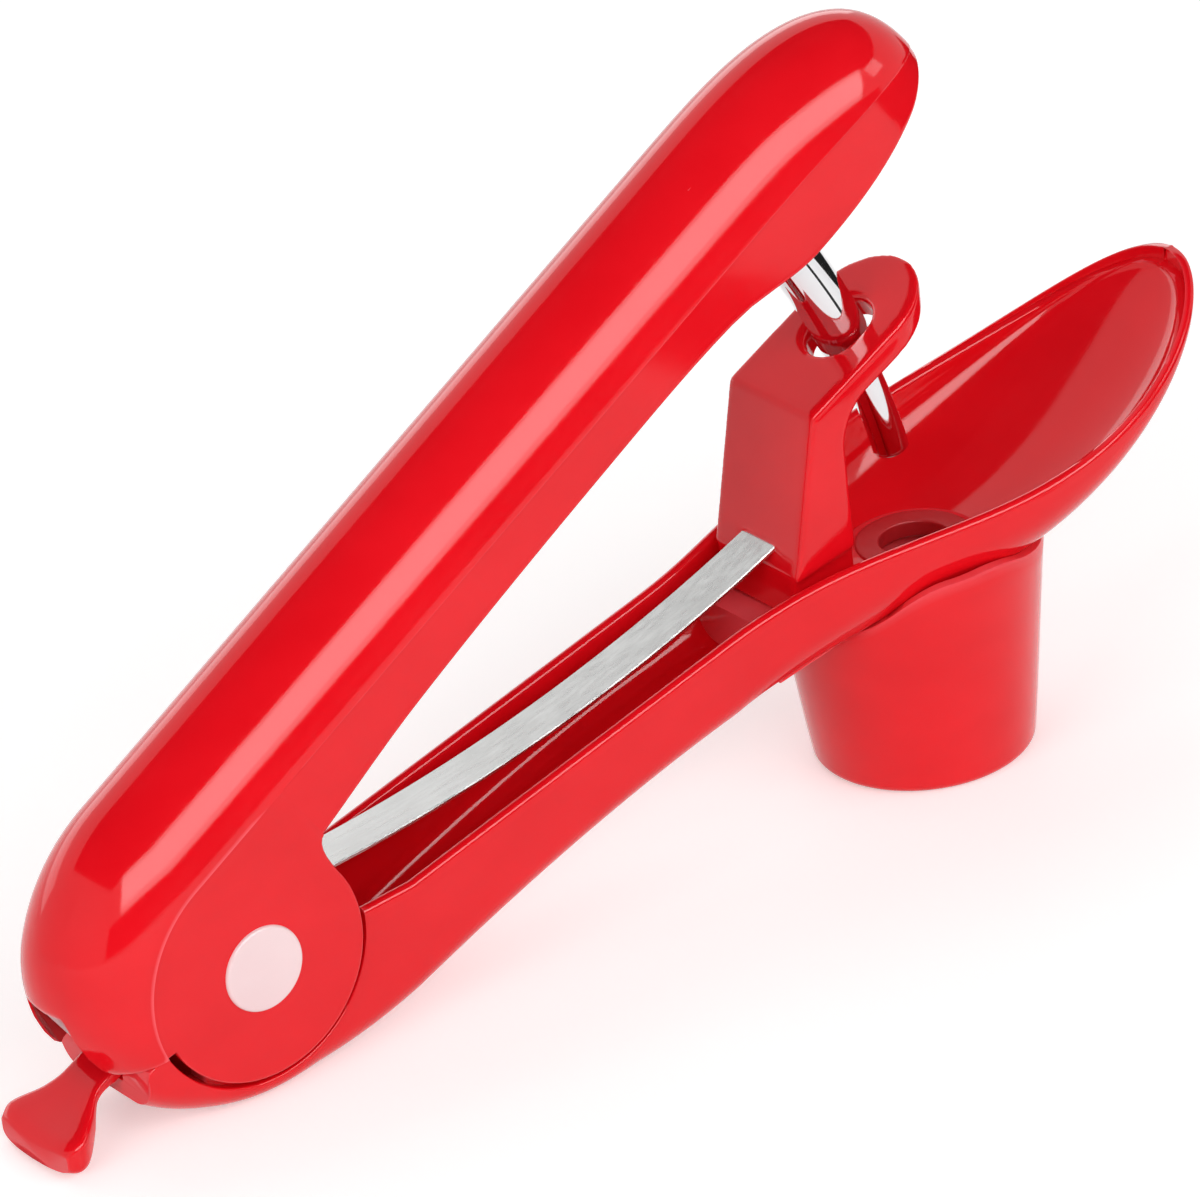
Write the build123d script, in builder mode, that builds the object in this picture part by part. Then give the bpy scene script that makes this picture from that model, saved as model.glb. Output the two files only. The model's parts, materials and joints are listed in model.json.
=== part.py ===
"""Hand-held cherry pitter: two hinged levers, a curved plunger, a guide bracket and a chute for the stones.

Millimetres. The origin is the centre of the chute's outlet, on the surface that the pitter stands on.
+X runs towards the tip of the cup, +Y across, +Z up. The levers are stored open, as the leaf spring holds them.
"""
from build123d import *
from math import asin, cos, degrees, radians, sin, sqrt, tan
import os

os.makedirs("parts", exist_ok=True)

# Layout of the hinge, the levers and the plunger's path
PIVOT_TO_CHUTE = 114.3
PIVOT_HEIGHT = 19.5
OPEN_ANGLE = 29.6
LEVER_ANGLE = 13.6
PRESS_TRAVEL = 15.0
ROD_ARC_RADIUS = 116.5
RUNNING_GAP = 0.05
SIDE_GAP = 0.35

# Upper handle
CROWN_HALF = 11.5
CROWN_TOP = 27.4
CROWN_SIDE = 17.0
CHEEK_RECESS = 0.35
HANDLE_WALL = 2.2
DISC_RADIUS = 15.6
REAR_EDGE_ANGLE = 202.0
REAR_ROUND_ANGLE = 162.0
REAR_EDGE_TOP = 24.0
NOSE_START = 112.0
NOSE_LENGTH = 34.0
NOSE_LEVEL = 10.5
NOSE_NARROW_START = 122.0
NOSE_SIDE_START = 118.0
NOSE_POWER = 2.6
NOSE_LAST_TURN = 84.0
NOSE_STEPS = 14
REAR_STEPS = 6
HEEL_U = 17.2
HEEL_W = 6.6
UNDERSIDE_W = 10.0
CHIN_U = 116.0
CHIN_W = 6.5
NOTCH_WIDTH = 8.4
NOTCH_TOP = -2.6
NOTCH_DEPTH = 1.5
NOTCH_CORNER = 2.5
WEB_THICKNESS = 6.0
HUB_RADIUS = 9.0

# Hinge
PIN_RADIUS = 2.5
BUSH_WALL = 1.6
CAP_RADIUS = 5.85
CAP_THICKNESS = 1.2
CAP_SEAT_DEPTH = 0.7
PIN_END_GAP = 0.3
EAR_RADIUS = 11.0
EAR_INNER = 5.2
EAR_OUTER = 8.6
WASHER_RADIUS = 6.5
WASHER_THICKNESS = 0.5

# Lower handle: channel, pocket for the discs and cup
CHANNEL_HALF = 10.2
LOWER_WALL = 1.8
POCKET_GAP = 1.0
RIM_LEVEL = -4.67
HULL_REAR = -18.5
HULL_REAR_HEIGHT = -13.5
HULL_LOFT_START = 24.4
HULL_LOFT_HEIGHT = -15.3
HULL_CORNER = 4.0
HULL_STEPS = 6
CHANNEL_STEPS = 14
CUP_STEPS = 12
CUP_LAST_TURN = 84.0
BELLY_LEVEL = 5.4
BELLY_END = 105.0
BELLY_POWER = 1.6
CUP_RIM_START = 88.0
CUP_TIP = 163.5
CUP_TIP_HEIGHT = 35.5
CUP_TIP_ANGLE = 36.0
CUP_TIP_DEPTH = 1.6
CUP_BELLY_POWER = 2.2
CUP_HALF = 19.2
CUP_WIDE_START = 78.0
CUP_WIDEST = 127.0
CUP_FLOOR_LEVEL = 10.0
FLOOR_HOLE_RADIUS = 5.8

# Guide bracket
BRACKET_HALF = 8.9
BRACKET_REAR = 90.0
BRACKET_FRONT = 100.3
BRACKET_TOP_X = 95.3
BRACKET_TOP_Z = 39.5
PLATE_ANGLE = 26.0
PLATE_THICKNESS = 3.8
PLATE_END = 119.0
DECK_DROP = 6.0
DECK_REAR = 86.0
BRACKET_SCREW_RADIUS = 1.4
BRACKET_SCREW_HEAD = 2.6
BRACKET_SCREW_SPREAD = 5.0
BRACKET_SCREW_X = 95.2
SCREW_HEAD_TOP = 6.6
SCREW_HEAD_HEIGHT = 1.4
SCREW_TOP = 18.6

# Plunger
SHANK_RADIUS = 3.6
TIP_RADIUS = 2.45
TIP_LOW_ANGLE = 12.2
SHANK_LOW_ANGLE = 21.5
SHANK_TOP_W = 24.2
SPIGOT_RADIUS = 1.6
SPIGOT_ANGLE = 3.0
GUIDE_CLEARANCE = 0.5
GUIDE_SLOT = 2.0
BOSS_LENGTH = 12.0
BOSS_HALF = 6.0
CROSS_PIN_RADIUS = 1.0

# Leaf spring
SPRING_WIDTH = 7.0
SPRING_THICKNESS = 0.6
SPRING_FOOT_X = 96.5
SPRING_FOOT_Z = 22.4
SPRING_MID_X = 53.2
SPRING_MID_Z = 9.0
SPRING_END_X = 13.0
SPRING_END_Z = 4.2
SPRING_PIN_RADIUS = 1.2
SPRING_PIN_X = 93.6
SPRING_PIN_LOW = 18.6
SPRING_PIN_HIGH = 25.0

# Chute and seat ring
CHUTE_FOOT_RADIUS = 15.0
CHUTE_TOP_RADIUS = 18.4
CHUTE_HEIGHT = 28.5
CHUTE_WALL = 1.9
CHUTE_LIP = 4.0
CHUTE_LIP_ANGLE = 8.0
OUTLET_RADIUS = 12.4
OUTLET_LENGTH = 5.0
CHUTE_FOOT_ROUND = 1.6
SPIGOT_WALL = 1.8
SPIGOT_DEPTH = 6.0
CHUTE_RING_HEIGHT = 2.0
SEAT_RING_WIDTH = 2.2
SEAT_RING_HEIGHT = 2.0

# Lock
LOCK_ANGLE = 27.0
LOCK_TRAVEL = 4.0
LOCK_NOSE_HALF_ANGLE = 3.0
LOCK_GAP_ANGLE = 1.2
TOOTH_RADIUS = 18.2
LOCK_BAR_HALF = 3.8
LOCK_BAR_RISE = 1.2
LOCK_BAR_DROP = 1.5
LOCK_WING = 1.3
LOCK_WING_REAR = 20.6
LOCK_WING_LENGTH = 3.2
LOCK_WING_HEIGHT = 1.3
TAB_HALF = 7.2
TAB_END = -30.5
TAB_ROOT = -22.4
TAB_BOTTOM = -19.3
TAB_TOP = -14.6
NECK_TOP = -11.9

BLOCK_ANGLE = REAR_EDGE_ANGLE + 1.0
PIVOT = Vector(-PIVOT_TO_CHUTE, 0, PIVOT_HEIGHT)
HINGE_AXIS = Axis(PIVOT, (0, -1, 0))
CHEEK_HALF = CROWN_HALF - CHEEK_RECESS
CAVITY_HALF = CROWN_HALF - HANDLE_WALL
POCKET_RADIUS = DISC_RADIUS + POCKET_GAP
CUP_FLOOR_X = sqrt(ROD_ARC_RADIUS**2 - CUP_FLOOR_LEVEL**2)


def polar(radius, angle):
    """Point of the side view at this distance and angle, in degrees, from the hinge axis."""
    return (radius * cos(radians(angle)), radius * sin(radians(angle)))


def side_plane(angle=0.0, across=0.0):
    """Side view about the hinge axis: local x points forward, tilted up by the angle, and local y points up."""
    forward = (cos(radians(angle)), 0, sin(radians(angle)))
    return Plane(origin=(PIVOT.X, across, PIVOT.Z), x_dir=forward, z_dir=(0, -1, 0))


def handle_station(distance):
    """Plane square across the upper handle, at a distance along it from the hinge axis."""
    along = Vector(cos(radians(OPEN_ANGLE)), 0, sin(radians(OPEN_ANGLE)))
    return Plane(origin=PIVOT + along * distance, x_dir=(0, 1, 0), z_dir=along)


def radial_station(angle):
    """Plane through the hinge axis: local x points across and local y points outward at the angle."""
    ahead = (sin(radians(angle)), 0, -cos(radians(angle)))
    return Plane(origin=PIVOT, x_dir=(0, 1, 0), z_dir=ahead)


def upright_station(forward):
    """Upright plane across the lower handle, at a distance ahead of the hinge axis."""
    return Plane(origin=PIVOT + Vector(forward, 0, 0), x_dir=(0, 1, 0), z_dir=(1, 0, 0))


def crown_outline(half_width, low, side, top):
    """Draws the handle's section: a flat bottom, upright sides and a half-elliptic crown."""
    with BuildLine(Plane.XY) as outline:
        Polyline((half_width, side), (half_width, low), (-half_width, low), (-half_width, side))
        EllipticalCenterArc((0, side), half_width, top - side, 0, arc_size=180)
    make_face(outline.line)


def nose_sizes(turn, wall):
    """Distance along the handle, half-width, side line and top of the domed nose, inset by a wall."""
    tip = NOSE_START + NOSE_LENGTH - wall
    share = sin(radians(turn))
    distance = NOSE_START + (tip - NOSE_START) * share
    narrowing = max(0.0, (distance - NOSE_NARROW_START) / (tip - NOSE_NARROW_START))
    half_width = (CROWN_HALF - wall) * (1 - narrowing**NOSE_POWER) ** (1 / NOSE_POWER)
    falling = max(0.0, (distance - NOSE_SIDE_START) / (tip - NOSE_SIDE_START))
    side = NOSE_LEVEL + (CROWN_SIDE - NOSE_LEVEL) * sqrt(1 - falling**2)
    top = NOSE_LEVEL + (CROWN_TOP - wall - NOSE_LEVEL) * (1 - share**NOSE_POWER) ** (1 / NOSE_POWER)
    return distance, half_width, min(side, top - 0.4), top


def rear_top(angle, wall):
    """Radius of the crown round the rear, which draws in towards its lower edge."""
    drawn_in = max(0.0, (angle - REAR_ROUND_ANGLE) / (REAR_EDGE_ANGLE - REAR_ROUND_ANGLE))
    return CROWN_TOP - wall - (CROWN_TOP - REAR_EDGE_TOP) * drawn_in**1.6


def handle_blank(wall, low):
    """The upper handle's outer shape, or its hollow when a wall is given."""
    half_width = CROWN_HALF - wall
    top = CROWN_TOP - wall
    with BuildPart() as blank:
        with BuildSketch(handle_station(0)):
            crown_outline(half_width, low, CROWN_SIDE, top)
        extrude(amount=NOSE_START)
        for step in range(NOSE_STEPS + 1):
            distance, nose_half, side, nose_top = nose_sizes(NOSE_LAST_TURN * step / NOSE_STEPS, wall)
            with BuildSketch(handle_station(distance)):
                crown_outline(nose_half, low, side, nose_top)
        loft(ruled=True)
        with BuildSketch(handle_station(0)):
            crown_outline(half_width, low, CROWN_SIDE, top)
        revolve(axis=HINGE_AXIS, revolution_arc=REAR_ROUND_ANGLE - OPEN_ANGLE - 90)
        for step in range(REAR_STEPS + 1):
            angle = REAR_ROUND_ANGLE + (REAR_EDGE_ANGLE - REAR_ROUND_ANGLE) * step / REAR_STEPS
            with BuildSketch(radial_station(angle)):
                crown_outline(half_width, low, CROWN_SIDE, rear_top(angle, wall))
        loft(ruled=True)
    return blank.part


def underside_outline():
    """Draws the region below the handle's side cheeks, from the heel past the chin to the tip."""
    with BuildLine(Plane.XY) as outline:
        Polyline(
            (HEEL_U, -CROWN_TOP),
            (HEEL_U, HEEL_W),
            (2.2 * HEEL_U, UNDERSIDE_W - 1.2),
            (4.4 * HEEL_U, UNDERSIDE_W),
            (CHIN_U - 14, UNDERSIDE_W - 0.4),
            (CHIN_U, CHIN_W),
            (NOSE_START + NOSE_LENGTH, NOSE_LEVEL),
            (NOSE_START + 2 * NOSE_LENGTH, NOSE_LEVEL),
            (NOSE_START + 2 * NOSE_LENGTH, -CROWN_TOP),
            close=True,
        )
    make_face(outline.line)


def ring_pair(inner, outer, start, thickness):
    """Two rings about the hinge axis, one on each side, from a distance across the object outward."""
    with BuildPart() as rings:
        for side in (-1, 1):
            with BuildSketch(side_plane(across=side * start)):
                Circle(outer)
                Circle(inner, mode=Mode.SUBTRACT)
            extrude(amount=-side * thickness)
    return rings.part


def rod_piece(radius, low_angle, high_angle, bend=ROD_ARC_RADIUS):
    """Round rod bent along the arc that the handle swings through."""
    with BuildPart() as rod:
        with BuildSketch(radial_station(low_angle)):
            with Locations(Location((0, bend, 0), (0, 0, 90))):
                Circle(radius)
        revolve(axis=HINGE_AXIS, revolution_arc=high_angle - low_angle)
    return rod.part


SHANK_TOP_ANGLE = OPEN_ANGLE + degrees(asin(SHANK_TOP_W / ROD_ARC_RADIUS))
LOCK_NOSE_ANGLE = 180 + LOCK_ANGLE
TOOTH_START = LOCK_NOSE_ANGLE + LOCK_NOSE_HALF_ANGLE + LOCK_GAP_ANGLE
TOOTH_END = LOCK_NOSE_ANGLE - LOCK_NOSE_HALF_ANGLE - LOCK_GAP_ANGLE + PRESS_TRAVEL
BOSS_LOW_W = 18.2
NOSE_REACH = TOOTH_RADIUS - 3.3

outer_handle = handle_blank(0.0, 3.0)
handle_hollow = handle_blank(HANDLE_WALL, 3.0)
shank_bore = rod_piece(SHANK_RADIUS, SHANK_LOW_ANGLE, SHANK_TOP_ANGLE)

with BuildPart() as upper_handle:
    add(outer_handle)
    with BuildSketch(side_plane(OPEN_ANGLE)):
        underside_outline()
    extrude(amount=2 * CROWN_HALF, both=True, mode=Mode.SUBTRACT)
    with BuildSketch(side_plane()):
        Circle(DISC_RADIUS)
    extrude(amount=CHEEK_HALF, both=True)
    add(handle_hollow, mode=Mode.SUBTRACT)
    with BuildSketch(side_plane()):
        Circle(CROWN_SIDE + 1)
    extrude(amount=CAVITY_HALF, both=True, mode=Mode.SUBTRACT)
    # Side cheeks lie a little inside the crown, which leaves a fine step along its side line
    for side in (-1, 1):
        with BuildSketch(side_plane(OPEN_ANGLE, across=side * CHEEK_HALF)):
            with BuildLine():
                Polyline((0, CROWN_SIDE), (0, -CROWN_TOP), (NOSE_SIDE_START, -CROWN_TOP))
                Polyline((NOSE_SIDE_START, -CROWN_TOP), (NOSE_SIDE_START, CROWN_SIDE), (0, CROWN_SIDE))
            make_face()
        extrude(amount=-side * 2 * CHEEK_RECESS, mode=Mode.SUBTRACT)
        with BuildSketch(side_plane(across=side * CHEEK_HALF)):
            Circle(CROWN_SIDE)
        extrude(amount=-side * 2 * CHEEK_RECESS, mode=Mode.SUBTRACT)
    # Web in the middle of the hub, with the spring's seat in front and the lock's tooth behind
    with BuildSketch(side_plane()):
        Circle(HUB_RADIUS)
        with BuildLine():
            Polyline(
                polar(CROWN_TOP - 1, OPEN_ANGLE + 95),
                (0, 0),
                (SPRING_END_X - 1.5, SPRING_END_Z + SPRING_THICKNESS),
                (SPRING_END_X + 4.0, SPRING_END_Z + SPRING_THICKNESS + 0.2),
                polar(CROWN_TOP - 1, OPEN_ANGLE + 72),
                close=True,
            )
        make_face()
        with BuildLine():
            Polyline((0, 0), polar(TOOTH_RADIUS, TOOTH_START), polar(TOOTH_RADIUS, TOOTH_END), close=True)
        make_face()
    extrude(amount=WEB_THICKNESS / 2, both=True)
    with BuildSketch(side_plane()):
        Circle(PIN_RADIUS + RUNNING_GAP)
    extrude(amount=CROWN_HALF, both=True, mode=Mode.SUBTRACT)
    # Seats of the bushes and of the pivot caps
    for side in (-1, 1):
        with BuildSketch(side_plane(across=side * CAVITY_HALF)):
            Circle(PIN_RADIUS + BUSH_WALL)
        extrude(amount=-side * 2 * HANDLE_WALL, mode=Mode.SUBTRACT)
        with BuildSketch(side_plane(across=side * (CHEEK_HALF - CAP_SEAT_DEPTH))):
            Circle(CAP_RADIUS)
        extrude(amount=-side * 2 * CAP_SEAT_DEPTH, mode=Mode.SUBTRACT)
    # Boss that holds the shank
    with BuildSketch(side_plane(OPEN_ANGLE)):
        with Locations((ROD_ARC_RADIUS - 2.0, (BOSS_LOW_W + CROWN_TOP - 1.4) / 2)):
            Rectangle(BOSS_LENGTH, CROWN_TOP - 1.4 - BOSS_LOW_W)
    extrude(amount=BOSS_HALF, both=True)
    add(shank_bore, mode=Mode.SUBTRACT)
    with BuildSketch(side_plane(OPEN_ANGLE)):
        with Locations((ROD_ARC_RADIUS - 1.6, BOSS_LOW_W + 2.2)):
            Circle(CROSS_PIN_RADIUS)
    extrude(amount=BOSS_HALF, both=True, mode=Mode.SUBTRACT)
    # Notch over the neck of the lock slider
    with BuildSketch(upright_station(-2 * TOOTH_RADIUS)):
        with Locations((0, NOTCH_TOP - NOTCH_WIDTH)):
            RectangleRounded(NOTCH_WIDTH, 2 * NOTCH_WIDTH, NOTCH_CORNER)
    extrude(amount=TOOTH_RADIUS + NOTCH_DEPTH, mode=Mode.SUBTRACT)
upper_handle.part.label = "upper_handle"
export_step(upper_handle.part, "parts/upper_handle.step")


def rim_height(forward):
    """Height of the lower handle's rim: over the pocket, straight along the lever, then up to the cup's tip."""
    if forward < 0:
        return forward * tan(radians(BLOCK_ANGLE))
    if forward < HULL_LOFT_START:
        return rim_height(HULL_LOFT_START) * forward / HULL_LOFT_START
    straight_end = min(forward, CUP_RIM_START)
    lever_slope = tan(radians(LEVER_ANGLE))
    lever = RIM_LEVEL + straight_end * lever_slope
    length = CUP_TIP - CUP_RIM_START
    share = (forward - straight_end) / length
    # Cubic that leaves the lever's line without a kink and reaches the tip at its own angle
    return (
        lever
        + (CUP_TIP_HEIGHT - lever) * share**2 * (3 - 2 * share)
        + lever_slope * length * share * (1 - share) ** 2
        - tan(radians(CUP_TIP_ANGLE)) * length * share**2 * (1 - share)
    )


def belly_height(forward):
    """Height of the lower handle's underside: two arcs under the hinge, then up to a level above the chute."""
    if forward < HULL_LOFT_START:
        reach, height = (HULL_LOFT_START, HULL_LOFT_HEIGHT) if forward > 0 else (HULL_REAR, HULL_REAR_HEIGHT)
        rise = height + PIVOT_HEIGHT
        radius = (reach**2 + rise**2) / (2 * rise)
        return radius - PIVOT_HEIGHT - sqrt(radius**2 - forward**2)
    if forward < BELLY_END:
        share = (BELLY_END - forward) / (BELLY_END - HULL_LOFT_START)
        return BELLY_LEVEL + (HULL_LOFT_HEIGHT - BELLY_LEVEL) * share**BELLY_POWER
    share = (forward - BELLY_END) / (CUP_TIP - BELLY_END)
    return BELLY_LEVEL + (CUP_TIP_HEIGHT - CUP_TIP_DEPTH - BELLY_LEVEL) * share**CUP_BELLY_POWER


def cup_half_width(forward, tip):
    """Half-width of the lower handle: parallel channel, widest over the chute, rounded at the tip."""
    widening = min(1.0, max(0.0, (forward - CUP_WIDE_START) / (CUP_WIDEST - CUP_WIDE_START)))
    widened = CHANNEL_HALF + (CUP_HALF - CHANNEL_HALF) * widening**2 * (3 - 2 * widening)
    narrowing = max(0.0, (forward - CUP_WIDEST) / (tip - CUP_WIDEST))
    return widened * sqrt(1 - narrowing**2)


def trough_outline(forward, wall):
    """Draws a section of the lower handle: level top, upright sides and rounded lower corners."""
    tip = CUP_TIP - 1.4 * wall
    half = cup_half_width(forward, tip) * (1 - wall / CUP_HALF)
    half = min(half, cup_half_width(forward, tip) - 0.2 * wall)
    if forward < CUP_WIDEST:
        half = cup_half_width(forward, tip) - wall
    top = rim_height(forward) + wall
    low = belly_height(forward) + wall
    low = min(low, top - 1.2)
    roundness = min(1.0, max(0.0, (forward - CUP_WIDE_START) / (BELLY_END - CUP_WIDE_START)))
    corner_x = HULL_CORNER - wall / 2 + roundness * (0.86 * half - HULL_CORNER + wall / 2)
    corner_z = HULL_CORNER - wall / 2 + roundness * (0.8 * (top - low) - HULL_CORNER + wall / 2)
    with BuildLine(Plane.XY) as outline:
        Line((-half, top), (half, top))
        Line((half, top), (half, low + corner_z))
        EllipticalCenterArc((half - corner_x, low + corner_z), corner_x, corner_z, 0, arc_size=-90)
        Line((half - corner_x, low), (corner_x - half, low))
        EllipticalCenterArc((corner_x - half, low + corner_z), corner_x, corner_z, 270, arc_size=-90)
        Line((-half, low + corner_z), (-half, top))
    make_face(outline.line)


def trough_blank(wall):
    """The lower handle's outer shape, or its hollow ahead of the pocket when a wall is given."""
    tip = CUP_TIP - 1.4 * wall
    stations = [HULL_LOFT_START + (CUP_WIDEST - HULL_LOFT_START) * step / CHANNEL_STEPS
                for step in range(CHANNEL_STEPS)]
    stations += [CUP_WIDEST + (tip - CUP_WIDEST) * sin(radians(CUP_LAST_TURN * step / CUP_STEPS))
                 for step in range(CUP_STEPS + 1)]
    if wall == 0:
        ahead = [HULL_LOFT_START * step / HULL_STEPS for step in range(HULL_STEPS)]
        behind = [HULL_REAR * (1 - step / HULL_STEPS) for step in range(HULL_STEPS)]
        stations = behind + ahead + stations
    with BuildPart() as blank:
        for forward in stations:
            with BuildSketch(upright_station(forward)):
                trough_outline(forward, wall)
        loft(ruled=True)
    return blank.part


def spring_outline(gap):
    """Draws the leaf spring's edge-on outline: one even bow from its foot to its free end."""
    half = SPRING_THICKNESS / 2 + gap
    end = (SPRING_END_X, SPRING_END_Z)
    middle = (SPRING_MID_X, SPRING_MID_Z)
    foot = (SPRING_FOOT_X + gap, SPRING_FOOT_Z)
    with BuildLine(Plane.XY) as outline:
        ThreePointArc(*[(x, z + half) for x, z in (end, middle, foot)])
        Line((foot[0], foot[1] + half), (foot[0], foot[1] - half))
        ThreePointArc(*[(x, z - half) for x, z in (foot, middle, end)])
        Line((end[0], end[1] - half), (end[0], end[1] + half))
    make_face(outline.line)


def upright_cylinder(forward, radius, low, high):
    """Upright cylinder at a distance ahead of the hinge axis, between two heights above it."""
    with BuildPart() as cylinder:
        with BuildSketch(Plane(origin=PIVOT + Vector(forward, 0, low))):
            Circle(radius)
        extrude(amount=high - low)
    return cylinder.part


trough = trough_blank(0.0)
trough_hollow = trough_blank(LOWER_WALL)
DECK_LEVEL = rim_height(BRACKET_REAR) - DECK_DROP
SEAT_RADIUS = FLOOR_HOLE_RADIUS + SEAT_RING_WIDTH
SPIGOT_RADIUS_OUT = CHUTE_FOOT_RADIUS - 1.0
SPIGOT_LOW = BELLY_LEVEL - SPIGOT_DEPTH

# Deck under the bracket
with BuildPart() as deck:
    add(trough)
    with BuildSketch(side_plane()):
        with Locations(((DECK_REAR + BRACKET_FRONT + 1) / 2, DECK_LEVEL - CROWN_SIDE / 2)):
            Rectangle(BRACKET_FRONT + 1 - DECK_REAR, CROWN_SIDE)
    extrude(amount=CHANNEL_HALF * 2, both=True, mode=Mode.INTERSECT)

with BuildPart() as lower_handle:
    add(trough)
    add(upright_cylinder(PIVOT_TO_CHUTE, SPIGOT_RADIUS_OUT, SPIGOT_LOW, BELLY_LEVEL + SPIGOT_DEPTH))
    add(trough_hollow, mode=Mode.SUBTRACT)
    with BuildSketch(side_plane()):
        with BuildLine():
            Polyline(
                (0, 0),
                (0, -POCKET_RADIUS),
                (HULL_LOFT_START + 1, HULL_LOFT_HEIGHT + LOWER_WALL),
                (HULL_LOFT_START + 1, CROWN_TOP),
                close=True,
            )
        make_face()
    extrude(amount=CHANNEL_HALF - LOWER_WALL, both=True, mode=Mode.SUBTRACT)
    with BuildSketch(side_plane()):
        Circle(POCKET_RADIUS)
    extrude(amount=CHANNEL_HALF + 1, both=True, mode=Mode.SUBTRACT)
    # Ears for the hinge pin
    for side in (-1, 1):
        with BuildSketch(side_plane(across=side * EAR_INNER)):
            Circle(EAR_RADIUS)
            with Locations((0, -POCKET_RADIUS / 2 - 0.4)):
                Rectangle(1.7 * EAR_RADIUS, POCKET_RADIUS + 0.8)
            Circle(PIN_RADIUS, mode=Mode.SUBTRACT)
        extrude(amount=-side * (EAR_OUTER - EAR_INNER))
    add(deck.part)
    # Seat of the soft ring, the way through the floor, and the spigot for the chute
    add(upright_cylinder(CUP_FLOOR_X, SEAT_RADIUS + 1.6, BELLY_LEVEL + 0.6, CUP_FLOOR_LEVEL))
    add(upright_cylinder(PIVOT_TO_CHUTE, SPIGOT_RADIUS_OUT - SPIGOT_WALL, SPIGOT_LOW, BELLY_LEVEL), mode=Mode.SUBTRACT)
    add(upright_cylinder(CUP_FLOOR_X, FLOOR_HOLE_RADIUS, SPIGOT_LOW, CUP_FLOOR_LEVEL), mode=Mode.SUBTRACT)
    seat_low = CUP_FLOOR_LEVEL - SEAT_RING_HEIGHT
    add(upright_cylinder(CUP_FLOOR_X, SEAT_RADIUS, seat_low, CUP_FLOOR_LEVEL), mode=Mode.SUBTRACT)
    # Screw holes under the bracket
    for side in (-1, 1):
        with BuildSketch(Plane(origin=PIVOT + Vector(BRACKET_SCREW_X, side * BRACKET_SCREW_SPREAD, 0))):
            Circle(BRACKET_SCREW_RADIUS + RUNNING_GAP)
        extrude(amount=DECK_LEVEL + 1, mode=Mode.SUBTRACT)
        with BuildSketch(Plane(origin=PIVOT + Vector(BRACKET_SCREW_X, side * BRACKET_SCREW_SPREAD, 0))):
            Circle(BRACKET_SCREW_HEAD + RUNNING_GAP)
        extrude(amount=SCREW_HEAD_TOP, mode=Mode.SUBTRACT)
    # Room for the swing of the lock's tooth
    with BuildSketch(side_plane()):
        with BuildLine():
            Polyline(
                (0, 0),
                polar(2 * TOOTH_RADIUS, TOOTH_END - PRESS_TRAVEL - 6),
                polar(2 * TOOTH_RADIUS, TOOTH_END + 6),
                close=True,
            )
        make_face()
        Circle(TOOTH_RADIUS + 0.5, mode=Mode.INTERSECT)
        Circle(POCKET_RADIUS - 1, mode=Mode.SUBTRACT)
    extrude(amount=WEB_THICKNESS / 2 + SIDE_GAP, both=True, mode=Mode.SUBTRACT)
    # Slot of the lock slider, open at the top, with grooves for its wings
    with BuildSketch(side_plane(LOCK_ANGLE)):
        with Locations((-TOOTH_RADIUS - 3, 4 - LOCK_BAR_DROP - 0.2)):
            Rectangle(14, 8)
    extrude(amount=LOCK_BAR_HALF + 0.2, both=True, mode=Mode.SUBTRACT)
    with BuildSketch(side_plane(LOCK_ANGLE)):
        with Locations((-LOCK_WING_REAR - 0.15 + 4, -LOCK_BAR_DROP + LOCK_WING_HEIGHT / 2)):
            Rectangle(8, LOCK_WING_HEIGHT + 0.3)
    extrude(amount=LOCK_BAR_HALF + LOCK_WING + 0.2, both=True, mode=Mode.SUBTRACT)
lower_handle.part.label = "lower_handle"
export_step(lower_handle.part, "parts/lower_handle.step")

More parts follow.
